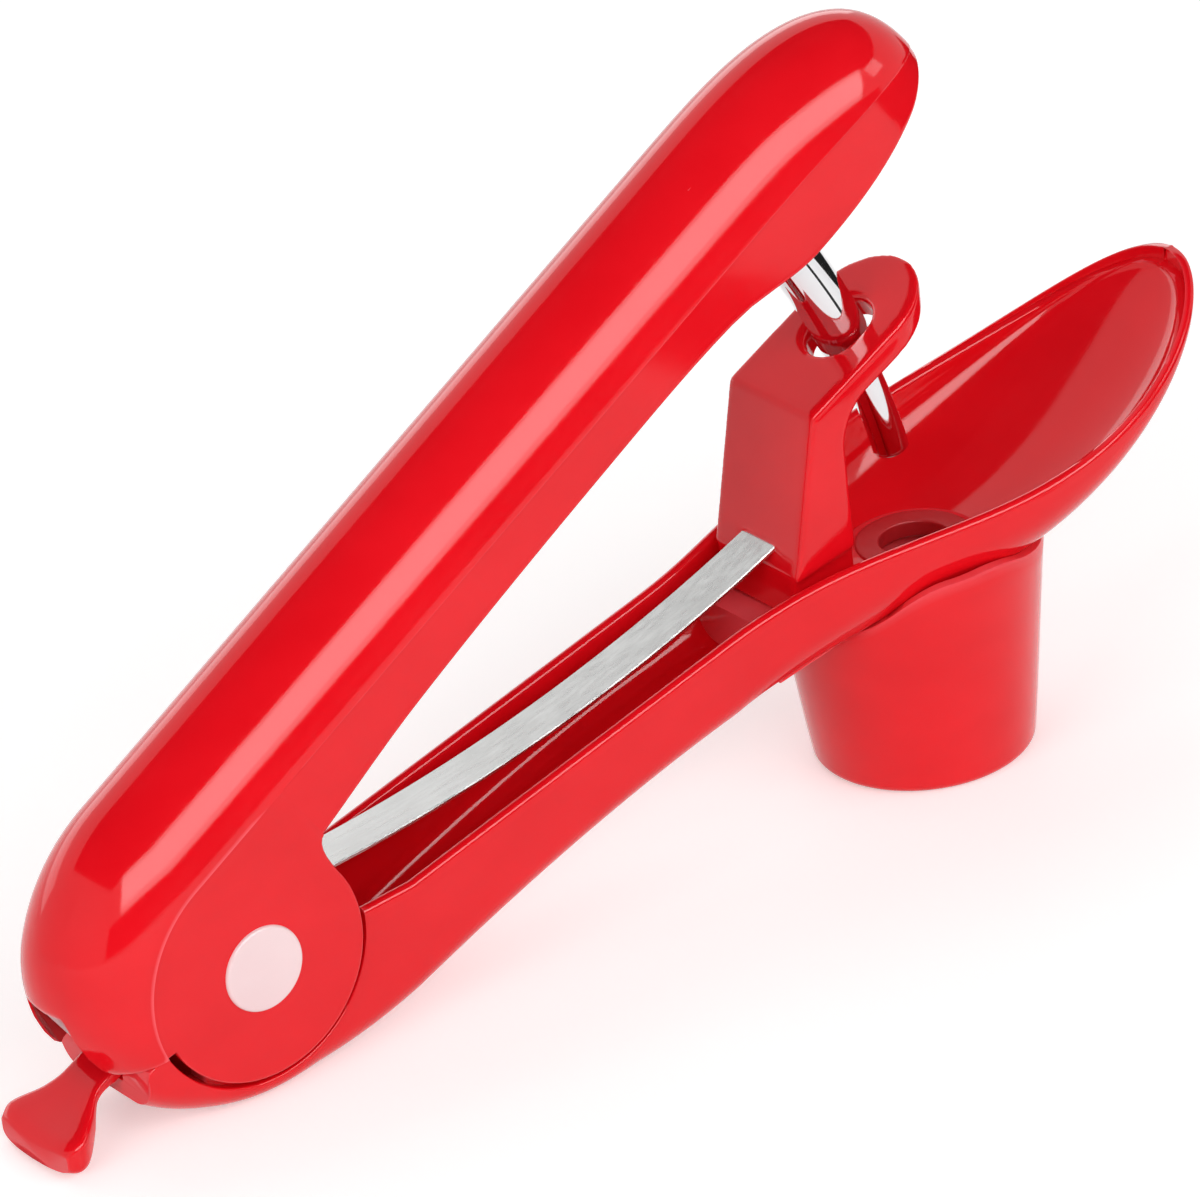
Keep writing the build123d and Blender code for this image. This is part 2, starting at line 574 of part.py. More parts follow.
# Guide bracket: post, sloping plate with the plunger's hole, and a tongue between the channel's walls
plate_rise = tan(radians(PLATE_ANGLE))
plate_drop = PLATE_THICKNESS / cos(radians(PLATE_ANGLE))
plate_top = BRACKET_TOP_Z + (PLATE_END - BRACKET_TOP_X) * plate_rise
inner_bend_z = BRACKET_TOP_Z + (BRACKET_FRONT + 4 - BRACKET_TOP_X) * plate_rise - plate_drop
GUIDE_ANGLE = degrees(asin((BRACKET_TOP_Z + 5.5) / ROD_ARC_RADIUS))
with BuildPart() as guide_bracket:
    with BuildSketch(side_plane()):
        with BuildLine():
            Polyline(
                (BRACKET_FRONT + 4, inner_bend_z),
                (PLATE_END + 0.5, plate_top - plate_drop),
                (PLATE_END, plate_top),
                (BRACKET_TOP_X, BRACKET_TOP_Z),
                (BRACKET_REAR, rim_height(BRACKET_REAR)),
                (BRACKET_FRONT, rim_height(BRACKET_FRONT)),
                (BRACKET_FRONT, inner_bend_z - 7),
            )
            TangentArc((BRACKET_FRONT, inner_bend_z - 7), (BRACKET_FRONT + 4, inner_bend_z), tangent=(0, 1))
        make_face()
    extrude(amount=BRACKET_HALF, both=True)
    with BuildSketch(side_plane()):
        with BuildLine():
            Polyline(
                (BRACKET_REAR, DECK_LEVEL),
                (BRACKET_FRONT, DECK_LEVEL),
                (BRACKET_FRONT, rim_height(BRACKET_FRONT) + 1),
                (BRACKET_REAR, rim_height(BRACKET_REAR) + 1),
                close=True,
            )
        make_face()
    extrude(amount=CHANNEL_HALF - LOWER_WALL - 0.2, both=True)
    # Rounded end of the plate
    with BuildSketch(Plane(origin=PIVOT)):
        with Locations((PLATE_END - BRACKET_HALF, 0)):
            Rectangle(2 * BRACKET_HALF, 2 * BRACKET_HALF, align=(Align.MIN, Align.CENTER))
            Circle(BRACKET_HALF, mode=Mode.SUBTRACT)
    extrude(amount=2 * BRACKET_TOP_Z, mode=Mode.SUBTRACT)
    # Oblong guide hole
    with BuildSketch(radial_station(GUIDE_ANGLE)):
        with Locations((0, ROD_ARC_RADIUS)):
            SlotCenterToCenter(GUIDE_SLOT, 2 * (SHANK_RADIUS + GUIDE_CLEARANCE), rotation=90)
    extrude(amount=PLATE_THICKNESS + 4, both=True, mode=Mode.SUBTRACT)
    # Slot for the foot of the spring, its pin's hole and the screw holes
    with BuildSketch(side_plane()):
        spring_outline(RUNNING_GAP)
    extrude(amount=SPRING_WIDTH / 2 + RUNNING_GAP, both=True, mode=Mode.SUBTRACT)
    add(upright_cylinder(SPRING_PIN_X, SPRING_PIN_RADIUS, SPRING_PIN_LOW, SPRING_PIN_HIGH), mode=Mode.SUBTRACT)
    for side in (-1, 1):
        with BuildSketch(Plane(origin=PIVOT + Vector(BRACKET_SCREW_X, side * BRACKET_SCREW_SPREAD, 0))):
            Circle(BRACKET_SCREW_RADIUS)
        extrude(amount=SCREW_TOP, mode=Mode.SUBTRACT)
guide_bracket.part.label = "guide_bracket"
export_step(guide_bracket.part, "parts/guide_bracket.step")

with BuildPart() as leaf_spring:
    with BuildSketch(side_plane()):
        spring_outline(0)
    extrude(amount=SPRING_WIDTH / 2, both=True)
    add(upright_cylinder(SPRING_PIN_X, SPRING_PIN_RADIUS, SPRING_PIN_LOW, SPRING_PIN_HIGH), mode=Mode.SUBTRACT)
leaf_spring.part.label = "leaf_spring"
export_step(leaf_spring.part, "parts/leaf_spring.step")

spring_pin = upright_cylinder(SPRING_PIN_X, SPRING_PIN_RADIUS, SPRING_PIN_LOW, SPRING_PIN_HIGH)
spring_pin.label = "spring_pin"
export_step(spring_pin, "parts/spring_pin.step")

with BuildPart() as bracket_screws:
    for side in (-1, 1):
        head_low = SCREW_HEAD_TOP - SCREW_HEAD_HEIGHT
        with BuildSketch(Plane(origin=PIVOT + Vector(BRACKET_SCREW_X, side * BRACKET_SCREW_SPREAD, head_low))):
            Circle(BRACKET_SCREW_HEAD)
        extrude(amount=SCREW_HEAD_HEIGHT)
        with BuildSketch(Plane(origin=PIVOT + Vector(BRACKET_SCREW_X, side * BRACKET_SCREW_SPREAD, head_low))):
            Circle(BRACKET_SCREW_RADIUS)
        extrude(amount=SCREW_TOP - head_low)
        with BuildSketch(Plane(origin=PIVOT + Vector(BRACKET_SCREW_X, side * BRACKET_SCREW_SPREAD, head_low))):
            Rectangle(2.6, 0.7)
            Rectangle(0.7, 2.6)
        extrude(amount=0.8, mode=Mode.SUBTRACT)
bracket_screws.part.label = "bracket_screws"
export_step(bracket_screws.part, "parts/bracket_screws.step")

# Chute for the stones: flared tube whose top follows the underside of the cup
with BuildPart() as pit_chute:
    with BuildSketch(Plane.XZ):
        with BuildLine():
            Polyline(
                (CHUTE_FOOT_RADIUS, 0),
                (CHUTE_TOP_RADIUS, CHUTE_HEIGHT),
                (CHUTE_TOP_RADIUS - CHUTE_WALL, CHUTE_HEIGHT),
                (OUTLET_RADIUS, OUTLET_LENGTH),
                (OUTLET_RADIUS, 0),
                close=True,
            )
        make_face()
    revolve(axis=Axis.Z)
    fillet(pit_chute.edges().group_by(Axis.Z)[0].sort_by(SortBy.RADIUS)[-1:], radius=CHUTE_FOOT_ROUND)
    add(trough, mode=Mode.SUBTRACT)
    lip_tilt = (-sin(radians(CHUTE_LIP_ANGLE)), 0, cos(radians(CHUTE_LIP_ANGLE)))
    with BuildSketch(Plane(origin=PIVOT + Vector(PIVOT_TO_CHUTE, 0, BELLY_LEVEL + CHUTE_LIP), z_dir=lip_tilt)):
        Rectangle(4 * CUP_HALF, 4 * CUP_HALF)
    extrude(amount=CHUTE_HEIGHT, mode=Mode.SUBTRACT)
pit_chute.part.label = "pit_chute"
export_step(pit_chute.part, "parts/pit_chute.step")

ring_low = SPIGOT_LOW + PIVOT_HEIGHT + 1
ring_slope = (CHUTE_TOP_RADIUS - CHUTE_WALL - OUTLET_RADIUS) / (CHUTE_HEIGHT - OUTLET_LENGTH)
with BuildPart() as chute_ring:
    with BuildSketch(Plane.XZ):
        with BuildLine():
            Polyline(
                (SPIGOT_RADIUS_OUT, ring_low),
                (OUTLET_RADIUS + (ring_low - OUTLET_LENGTH) * ring_slope, ring_low),
                (OUTLET_RADIUS + (ring_low + CHUTE_RING_HEIGHT - OUTLET_LENGTH) * ring_slope,
                 ring_low + CHUTE_RING_HEIGHT),
                (SPIGOT_RADIUS_OUT, ring_low + CHUTE_RING_HEIGHT),
                close=True,
            )
        make_face()
    revolve(axis=Axis.Z)
chute_ring.part.label = "chute_ring"
export_step(chute_ring.part, "parts/chute_ring.step")

with BuildPart() as seat_ring:
    add(upright_cylinder(CUP_FLOOR_X, SEAT_RADIUS, CUP_FLOOR_LEVEL - SEAT_RING_HEIGHT, CUP_FLOOR_LEVEL + 0.4))
    add(upright_cylinder(CUP_FLOOR_X, FLOOR_HOLE_RADIUS - 1, 0, 2 * CUP_FLOOR_LEVEL), mode=Mode.SUBTRACT)
seat_ring.part.label = "seat_ring"
export_step(seat_ring.part, "parts/seat_ring.step")

# Hinge: pin, caps, washers and bushes
with BuildPart() as pivot_pin:
    with BuildSketch(side_plane()):
        Circle(PIN_RADIUS)
    extrude(amount=CHEEK_HALF - CAP_SEAT_DEPTH - PIN_END_GAP, both=True)
pivot_pin.part.label = "pivot_pin"
export_step(pivot_pin.part, "parts/pivot_pin.step")

for name, side in (("near_pivot_cap", -1), ("far_pivot_cap", 1)):
    with BuildPart() as pivot_cap:
        with BuildSketch(side_plane(across=side * (CHEEK_HALF - CAP_SEAT_DEPTH))):
            Circle(CAP_RADIUS)
        extrude(amount=-side * CAP_THICKNESS)
        fillet(pivot_cap.faces().sort_by(Axis.Y)[0 if side < 0 else -1].edges(), radius=0.4)
    pivot_cap.part.label = name
    export_step(pivot_cap.part, "parts/" + name + ".step")

washer_start = (EAR_OUTER + CAVITY_HALF - WASHER_THICKNESS) / 2
thrust_washers = ring_pair(PIN_RADIUS, WASHER_RADIUS, washer_start, WASHER_THICKNESS)
thrust_washers.label = "thrust_washers"
export_step(thrust_washers, "parts/thrust_washers.step")

bush_length = CHEEK_HALF - CAP_SEAT_DEPTH - CAVITY_HALF - RUNNING_GAP
pivot_bushes = ring_pair(PIN_RADIUS + RUNNING_GAP, PIN_RADIUS + BUSH_WALL, CAVITY_HALF, bush_length)
pivot_bushes.label = "pivot_bushes"
export_step(pivot_bushes, "parts/pivot_bushes.step")

# Plunger: thick shank in the handle's boss and a thin tip plugged into it
cross_pin_plane = side_plane(OPEN_ANGLE)
spigot = rod_piece(SPIGOT_RADIUS, SHANK_LOW_ANGLE - SPIGOT_ANGLE, SHANK_LOW_ANGLE + SPIGOT_ANGLE)
with BuildPart() as plunger_shank:
    add(shank_bore)
    with BuildSketch(cross_pin_plane):
        with Locations((ROD_ARC_RADIUS - 1.6, BOSS_LOW_W + 2.2)):
            Circle(CROSS_PIN_RADIUS)
    extrude(amount=BOSS_HALF, both=True, mode=Mode.SUBTRACT)
    add(spigot, mode=Mode.SUBTRACT)
plunger_shank.part.label = "plunger_shank"
export_step(plunger_shank.part, "parts/plunger_shank.step")

with BuildPart() as plunger_tip:
    add(rod_piece(TIP_RADIUS, TIP_LOW_ANGLE, SHANK_LOW_ANGLE))
    add(spigot)
    with BuildSketch(radial_station(TIP_LOW_ANGLE)):
        with Locations((0, ROD_ARC_RADIUS)):
            Circle(TIP_RADIUS - 0.8)
    extrude(amount=-0.8, taper=45, mode=Mode.SUBTRACT)
plunger_tip.part.label = "plunger_tip"
export_step(plunger_tip.part, "parts/plunger_tip.step")

with BuildPart() as rod_cross_pin:
    with BuildSketch(cross_pin_plane):
        with Locations((ROD_ARC_RADIUS - 1.6, BOSS_LOW_W + 2.2)):
            Circle(CROSS_PIN_RADIUS)
    extrude(amount=BOSS_HALF, both=True)
rod_cross_pin.part.label = "rod_cross_pin"
export_step(rod_cross_pin.part, "parts/rod_cross_pin.step")

# Lock slider: wedge nose, bar with side wings, and a dished tab outside the tail
nose_thick = tan(radians(LOCK_NOSE_HALF_ANGLE))
with BuildPart() as lock_slider:
    with BuildSketch(side_plane(LOCK_ANGLE)):
        with BuildLine():
            Polyline(
                (-NOSE_REACH - LOCK_TRAVEL, NOSE_REACH * nose_thick),
                (-NOSE_REACH - 2 * LOCK_TRAVEL, (NOSE_REACH + LOCK_TRAVEL) * nose_thick),
                (-NOSE_REACH - 2 * LOCK_TRAVEL - 0.4, LOCK_BAR_RISE),
                (-LOCK_WING_REAR - 6, LOCK_BAR_RISE),
                (-LOCK_WING_REAR - 6, -LOCK_BAR_DROP),
                (-NOSE_REACH - 2 * LOCK_TRAVEL - 0.4, -LOCK_BAR_DROP),
                (-NOSE_REACH - 2 * LOCK_TRAVEL, -(NOSE_REACH + LOCK_TRAVEL) * nose_thick),
                (-NOSE_REACH - LOCK_TRAVEL, -NOSE_REACH * nose_thick),
                close=True,
            )
        make_face()
    extrude(amount=LOCK_BAR_HALF, both=True)
    # Side wings, clear of the tooth between them
    for side in (-1, 1):
        with BuildSketch(side_plane(LOCK_ANGLE, across=side * (WEB_THICKNESS / 2 + SIDE_GAP))):
            with Locations((LOCK_WING_LENGTH / 2 - LOCK_WING_REAR, -LOCK_BAR_DROP + LOCK_WING_HEIGHT / 2)):
                Rectangle(LOCK_WING_LENGTH, LOCK_WING_HEIGHT)
        extrude(amount=-side * (LOCK_BAR_HALF + LOCK_WING - WEB_THICKNESS / 2 - SIDE_GAP))
lock_bar = lock_slider.part
with BuildPart() as lock_tab:
    with BuildSketch(side_plane()):
        with BuildLine():
            Polyline((TAB_ROOT - 0.4, NECK_TOP - 0.6), (TAB_ROOT, NECK_TOP - 3.4), (TAB_ROOT - 2, TAB_BOTTOM + 0.9))
            TangentArc((TAB_ROOT - 2, TAB_BOTTOM + 0.9), (TAB_END, TAB_BOTTOM), tangent=(-1, -0.2))
            Line((TAB_END, TAB_BOTTOM), (TAB_END, TAB_TOP))
            ThreePointArc((TAB_END, TAB_TOP), ((TAB_END + TAB_ROOT) / 2, TAB_TOP + 0.6), (TAB_ROOT - 0.4, NECK_TOP - 0.6))
        make_face()
    extrude(amount=TAB_HALF, both=True)
    with BuildSketch(Plane(origin=PIVOT + Vector(0, 0, -PIVOT_HEIGHT))):
        with BuildLine():
            Line((TAB_ROOT + 1, -LOCK_BAR_HALF), (TAB_ROOT + 1, LOCK_BAR_HALF))
            Spline((TAB_ROOT + 1, LOCK_BAR_HALF), (TAB_ROOT - 3, LOCK_BAR_HALF + 1), (TAB_END + 2, TAB_HALF),
                   tangents=((-1, 0), (-1, 0.3)))
            ThreePointArc((TAB_END + 2, TAB_HALF), (TAB_END, 0), (TAB_END + 2, -TAB_HALF))
            Spline((TAB_END + 2, -TAB_HALF), (TAB_ROOT - 3, -LOCK_BAR_HALF - 1), (TAB_ROOT + 1, -LOCK_BAR_HALF),
                   tangents=((1, 0.3), (1, 0)))
        make_face()
    extrude(amount=PIVOT_HEIGHT, mode=Mode.INTERSECT)
    add(lock_bar)
lock_tab.part.label = "lock_slider"
export_step(lock_tab.part, "parts/lock_slider.step")
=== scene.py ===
import json
import math

import bmesh
import bpy
from mathutils import Matrix, Vector


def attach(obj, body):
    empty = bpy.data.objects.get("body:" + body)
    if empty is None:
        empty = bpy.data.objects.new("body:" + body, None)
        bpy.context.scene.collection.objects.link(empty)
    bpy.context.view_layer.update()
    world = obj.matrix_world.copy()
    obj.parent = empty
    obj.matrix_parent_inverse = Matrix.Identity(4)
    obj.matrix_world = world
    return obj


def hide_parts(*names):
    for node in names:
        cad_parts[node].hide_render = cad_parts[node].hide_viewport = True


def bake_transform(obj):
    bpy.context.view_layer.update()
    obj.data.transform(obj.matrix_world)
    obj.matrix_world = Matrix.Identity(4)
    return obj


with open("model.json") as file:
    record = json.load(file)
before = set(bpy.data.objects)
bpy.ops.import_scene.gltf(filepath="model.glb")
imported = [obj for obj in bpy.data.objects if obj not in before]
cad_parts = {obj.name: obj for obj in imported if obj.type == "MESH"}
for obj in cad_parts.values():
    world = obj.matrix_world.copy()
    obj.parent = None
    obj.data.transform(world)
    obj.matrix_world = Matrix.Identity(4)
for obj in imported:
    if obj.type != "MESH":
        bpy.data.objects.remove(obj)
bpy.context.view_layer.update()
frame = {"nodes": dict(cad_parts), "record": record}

# Side-view sizes in millimetres, counted from the hinge axis
PIVOT_TO_CHUTE = 114.3
PIVOT_HEIGHT = 19.5
OPEN_ANGLE = math.radians(29.6)

CROWN_HALF = 11.5
CROWN_TOP = 27.4
CROWN_SIDE = 17.0
CHEEK_RECESS = 0.35
HANDLE_WALL = 2.2
DISC_RADIUS = 15.6
REAR_ROUND_ANGLE = 162.0
REAR_EDGE_ANGLE = 202.0
REAR_EDGE_TOP = 24.0
NOTCH_EDGE_ANGLE = 178.5
NOTCH_HALF = 5.2
NOSE_START = 112.0
NOSE_LENGTH = 34.0
NOSE_LEVEL = 10.5
NOSE_NARROW_START = 122.0
NOSE_SIDE_START = 118.0
NOSE_POWER = 2.6
HEEL = 17.2
UNDERSIDE = ((17.2, 6.6), (37.8, 8.8), (75.7, 10.0), (102.0, 9.6), (116.0, 6.5), (138.0, 8.2), (146.0, 10.5))

CHANNEL_HALF = 10.2
LOWER_WALL = 1.8
POCKET_RADIUS = 16.6
RIM_LEVEL = -4.67
LEVER_SLOPE = math.tan(math.radians(13.6))
BLOCK_SLOPE = math.tan(math.radians(203.0))
HULL_REAR = -18.5
HULL_REAR_HEIGHT = -13.5
HULL_LOFT_START = 24.4
HULL_LOFT_HEIGHT = -15.3
HULL_CORNER = 4.0
BELLY_LEVEL = 5.4
BELLY_END = 105.0
BELLY_POWER = 1.6
CUP_RIM_START = 88.0
CUP_TIP = 163.5
CUP_TIP_HEIGHT = 35.5
CUP_TIP_SLOPE = math.tan(math.radians(36.0))
CUP_TIP_DEPTH = 1.6
CUP_BELLY_POWER = 2.2
CUP_HALF = 19.2
CUP_WIDE_START = 78.0
CUP_WIDEST = 127.0
ROD_ARC_RADIUS = 116.5
CUP_FLOOR_LEVEL = 10.0
CUP_FLOOR_X = math.sqrt(ROD_ARC_RADIUS**2 - CUP_FLOOR_LEVEL**2)
DECK_MIDDLE = 90.0
DECK_DROP = 6.0
DECK_LEVEL = RIM_LEVEL + DECK_MIDDLE * LEVER_SLOPE - DECK_DROP

SAME_POINT = 1e-6
WELD_DISTANCE = 1e-7
SHARPEST_MITRE = 0.5
PLATE_EDGE_STEPS = 3


def clamped(value):
    """Value limited to the range from 0 to 1."""
    return min(1.0, max(0.0, value))


def eased(share):
    """Share from 0 to 1 that starts and ends softly."""
    return share**2 * (3 - 2 * share)


def place(x, y, z):
    """Point in metres in the shared frame, from millimetres about the hinge axis."""
    return Vector(((x - PIVOT_TO_CHUTE) / 1000.0, y / 1000.0, (z + PIVOT_HEIGHT) / 1000.0))


def tilted(u, y, w, angle):
    """Point along, across and up from a line through the hinge axis that is tilted up by an angle."""
    cosine = math.cos(angle)
    sine = math.sin(angle)
    return place(u * cosine - w * sine, y, u * sine + w * cosine)


def on_handle(u, y, w):
    """Point of the upper handle: along it, across it and up from its centre line."""
    return tilted(u, y, w, OPEN_ANGLE)


def polar(radius, angle):
    """Side-view point at a radius and an angle, in degrees, as a pair."""
    return radius * math.cos(math.radians(angle)), radius * math.sin(math.radians(angle))


def on_arc(radius, y, angle):
    """Point at a radius and an angle, in degrees, about the hinge axis."""
    x, z = polar(radius, angle)
    return place(x, y, z)


def arc_points(radius, start, end, steps):
    """Side-view points along an arc about the hinge axis, both ends included."""
    return [polar(radius, start + (end - start) * step / steps) for step in range(steps + 1)]


class Shell:
    """Collects vertices and faces of one piece, which may have several closed parts."""

    def __init__(self):
        self.verts = []
        self.faces = []

    def loops(self, loops):
        """Joins closed loops of equal length with quads, and closes both ends."""
        base = len(self.verts)
        count = len(loops[0])
        for loop in loops:
            self.verts.extend(loop)
        for row in range(len(loops) - 1):
            for i in range(count):
                j = (i + 1) % count
                a = base + row * count
                b = a + count
                self.faces.append((a + i, a + j, b + j, b + i))
        self.faces.append(tuple(base + i for i in range(count)))
        last = base + (len(loops) - 1) * count
        self.faces.append(tuple(last + i for i in reversed(range(count))))

    def plate(self, outline, low, high, edge, to_point=place, seam=None):
        """Closed plate from a side-view outline between two distances across, with rounded edges.

        Points at the seam stay there, so that the plate meets the next piece flush.
        """
        rings = [(2 * abs(edge), low)]
        for step in range(PLATE_EDGE_STEPS + 1):
            turn = math.radians(90 * step / PLATE_EDGE_STEPS)
            rings.append((abs(edge) * (1 - math.sin(turn)), low + edge * (1 - math.cos(turn))))
        rings += [(inset, high - (across - low)) for inset, across in reversed(rings)]
        loops = []
        for inset, across in rings:
            line = inset_outline(outline, abs(inset))
            if seam is not None and inset <= abs(edge):
                line = [(seam, q[1]) if abs(p[0] - seam) < SAME_POINT else q for p, q in zip(outline, line)]
            loops.append([to_point(q[0], across, q[1]) for q in line])
        self.loops(loops)

    def lathe(self, forward, profile, segments=72):
        """Ring or tube round an upright axis: the profile is closed, as pairs of radius and height."""
        loops = []
        for step in range(segments):
            turn = 2 * math.pi * step / segments
            loops.append([place(forward + r * math.cos(turn), r * math.sin(turn), z) for r, z in profile])
        self.round_trip(loops)

    def round_trip(self, loops):
        """Joins closed loops into a ring: the last one meets the first."""
        base = len(self.verts)
        count = len(loops[0])
        for loop in loops:
            self.verts.extend(loop)
        for row in range(len(loops)):
            here = base + row * count
            following = base + (row + 1) % len(loops) * count
            for i in range(count):
                j = (i + 1) % count
                self.faces.append((here + i, here + j, following + j, following + i))

    def build(self, name, sharp=38.0):
        """Makes the object, with normals outward and smooth shading up to a crease angle."""
        mesh = bpy.data.meshes.new(name)
        mesh.from_pydata([tuple(v) for v in self.verts], [], self.faces)
        mesh.validate()
        piece = bpy.data.objects.new(name, mesh)
        bpy.context.scene.collection.objects.link(piece)
        outward(mesh)
        mesh.shade_smooth()
        mesh.set_sharp_from_angle(angle=math.radians(sharp))
        return piece


def outward(mesh):
    """Turns each closed part's faces outward."""
    work = bmesh.new()
    work.from_mesh(mesh)
    bmesh.ops.remove_doubles(work, verts=work.verts, dist=WELD_DISTANCE)
    bmesh.ops.dissolve_degenerate(work, edges=work.edges, dist=WELD_DISTANCE)
    bmesh.ops.recalc_face_normals(work, faces=work.faces)
    work.to_mesh(mesh)
    work.free()


def inset_outline(outline, inset):
    """Moves a closed outline inward by a small distance."""
    if inset == 0:
        return outline
    area = sum(a[0] * b[1] - b[0] * a[1] for a, b in zip(outline, outline[1:] + outline[:1]))
    turn = 1.0 if area > 0 else -1.0
    moved = []
    count = len(outline)
    for i in range(count):
        before = Vector(outline[i - 1])
        here = Vector(outline[i])
        after = Vector(outline[(i + 1) % count])
        first = (here - before).normalized()
        second = (after - here).normalized()
        normal = Vector((-(first.y + second.y), first.x + second.x)) * turn
        if normal.length < SAME_POINT:
            moved.append(tuple(here))
            continue
        normal.normalize()
        square = max(SHARPEST_MITRE, normal.dot(Vector((-second.y, second.x)) * turn))
        moved.append(tuple(here + normal * (inset / square)))
    return moved


def smooth_line(points, share):
    """Value of a soft line through points given as pairs, at a place along the first coordinate."""
    if share <= points[0][0]:
        return points[0][1]
    for i in range(len(points) - 1):
        x0, y0 = points[i]
        x1, y1 = points[i + 1]
        if share <= x1:
            slope = (y1 - y0) / (x1 - x0)
            before = slope if i == 0 else (y1 - points[i - 1][1]) / (x1 - points[i - 1][0])
            after = slope if i == len(points) - 2 else (points[i + 2][1] - y0) / (points[i + 2][0] - x0)
            t = (share - x0) / (x1 - x0)
            h = x1 - x0
            return (
                y0 * (2 * t**3 - 3 * t**2 + 1)
                + y1 * (3 * t**2 - 2 * t**3)
                + before * h * (t**3 - 2 * t**2 + t)
                + after * h * (t**3 - t**2)
            )
    return points[-1][1]


# Upper handle
CROWN_STEPS = 56
INNER_STEPS = 24
REAR_EXTRA_STEPS = 12
EDGE_STEPS = 5
LEAST_RISE = 0.02
LEAST_EDGE = 0.01
CREASE_ANGLE = math.radians(15.0)
CREASE_DEPTH = 0.12
CREASE_INSETS = (0.1, 0.03)
CHEEK_EDGE = 0.7
CHEEK_EDGE_DIVISOR = 3.0
WALL_EDGE_DIVISOR = 2.2
CHEEK_SHARES = (0.02, 0.5, 0.97)
LEAST_CHEEK = 0.3
LEAST_CHEEK_INSIDE = 0.2
LEAST_WALL = 0.4
RECESS_FADE = 3.0
SEAM_STEP = 0.06
HEEL_STATIONS = (HEEL, HEEL - SEAM_STEP, 11.0, 5.0, 0.0)
REAR_STEPS = 44
REAR_POWER = 1.6
REAR_EDGE_SHARE = 0.985
REAR_EDGE_ROUND = 0.35
REAR_EDGE_ROUND_INSIDE = -0.2
NOTCH_SOFT_START = 1.5
NOTCH_SOFT_WIDTH = 1.9
CHEEK_UNDER_CROWN = 0.5
CHEEK_ARC_STEPS = 30
CHEEK_PLATE_EDGE = 0.35
DISC_STEPS = 60
DISC_START_TURN = 1.0
DISC_END_LEVEL = 0.9
DISC_FILLET = ((15.6, 2.4), (15.7, 3.8), (15.95, 5.0), (16.35, 5.9), (16.8, 6.4))
STRAIGHT_STEPS = 26
NOSE_STEPS = 40
NOSE_TURN = 89.2
HUB_RADIUS = 9.0
HUB_STEP = 8
WEB_HALF = 3.0
WEB_EDGE = 0.3
WEB_RIB = ((-1.0, 4.0), (7.0, 6.5), (10.0, CROWN_TOP - 1.0), (-3.0, CROWN_TOP - 1.0))
BOSS_MIDDLE = ROD_ARC_RADIUS - 2.0
BOSS_OUTLINE = ((-6.0, 18.2), (6.0, 18.2), (5.4, 25.4), (-5.4, 25.8))
BOSS_HALF = 6.0
BOSS_EDGE = 0.6
SEAM_TOLERANCE = 0.0001


def crown_sizes(u, wall):
    """Half-width, side line and top of the crown at a distance along the handle, inset by a wall."""
    tip = NOSE_START + NOSE_LENGTH - wall
    share = clamped((u - NOSE_START) / (tip - NOSE_START))
    narrowing = clamped((u - NOSE_NARROW_START) / (tip - NOSE_NARROW_START))
    falling = clamped((u - NOSE_SIDE_START) / (tip - NOSE_SIDE_START))
    half = (CROWN_HALF - wall) * (1 - narrowing**NOSE_POWER) ** (1 / NOSE_POWER)
    side = NOSE_LEVEL + (CROWN_SIDE - NOSE_LEVEL) * math.sqrt(1 - falling**2)
    top = NOSE_LEVEL + (CROWN_TOP - wall - NOSE_LEVEL) * (1 - share**NOSE_POWER) ** (1 / NOSE_POWER)
    return half, min(side, top - LEAST_RISE), top


def crown_arc(half, steps):
    """Crown section as pairs: distance across, and share of the crown's height. It starts at a crease."""
    points = []
    for step in range(steps + 1):
        turn = CREASE_ANGLE + (math.pi - 2 * CREASE_ANGLE) * step / steps
        rise = (math.sin(turn) - math.sin(CREASE_ANGLE)) / (1 - math.sin(CREASE_ANGLE))
        points.append((half * math.cos(turn) / math.cos(CREASE_ANGLE), rise))
    return points


def handle_loop(u, u_inside):
    """Closed section of the handle ahead of the hinge: cheeks, crown and the hollow inside them."""
    half, side, top = crown_sizes(u, 0.0)
    low = min(smooth_line(UNDERSIDE, u), side - LEAST_CHEEK)
    cheek = max(half - CHEEK_RECESS * min(1.0, half / RECESS_FADE), 0.0)
    half_in, side_in, top_in = crown_sizes(u_inside, HANDLE_WALL)
    half_in = min(half_in, max(cheek - LEAST_WALL, 0.0))
    wall_edge = max((cheek - half_in) / WALL_EDGE_DIVISOR, LEAST_EDGE)
    edge = min(CHEEK_EDGE, (side - low) / CHEEK_EDGE_DIVISOR, wall_edge)
    right = []
    for step in range(EDGE_STEPS + 1):
        turn = math.radians(90.0 * step / EDGE_STEPS)
        right.append((cheek - edge * (1 - math.sin(turn)), low + edge * (1 - math.cos(turn))))
    gap = side - low - edge
    right += [(cheek, low + edge + gap * share) for share in CHEEK_SHARES]
    right.append((cheek, side - CREASE_DEPTH))
    right.append((half - CREASE_INSETS[0], side - CREASE_DEPTH / 2))
    right.append((half - CREASE_INSETS[1], side))
    base = min(side + CREASE_DEPTH / 2, top - LEAST_EDGE)
    crown = [(y, base + (top - base) * rise) for y, rise in crown_arc(half, CROWN_STEPS)]
    outer = right + crown + [(-y, w) for y, w in reversed(right)]
    low_in = min(smooth_line(UNDERSIDE, u_inside), side_in - LEAST_CHEEK_INSIDE)
    mid_in = (low_in + side_in) / 2
    inside = [(-half_in, low_in), (-half_in, mid_in)]
    for step in range(INNER_STEPS + 1):
        turn = math.pi - math.pi * step / INNER_STEPS
        inside.append((half_in * math.cos(turn), side_in + (top_in - side_in) * math.sin(turn)))
    inside += [(half_in, mid_in), (half_in, low_in)]
    return [on_handle(u, y, w) for y, w in outer] + [on_handle(u_inside, y, w) for y, w in inside]


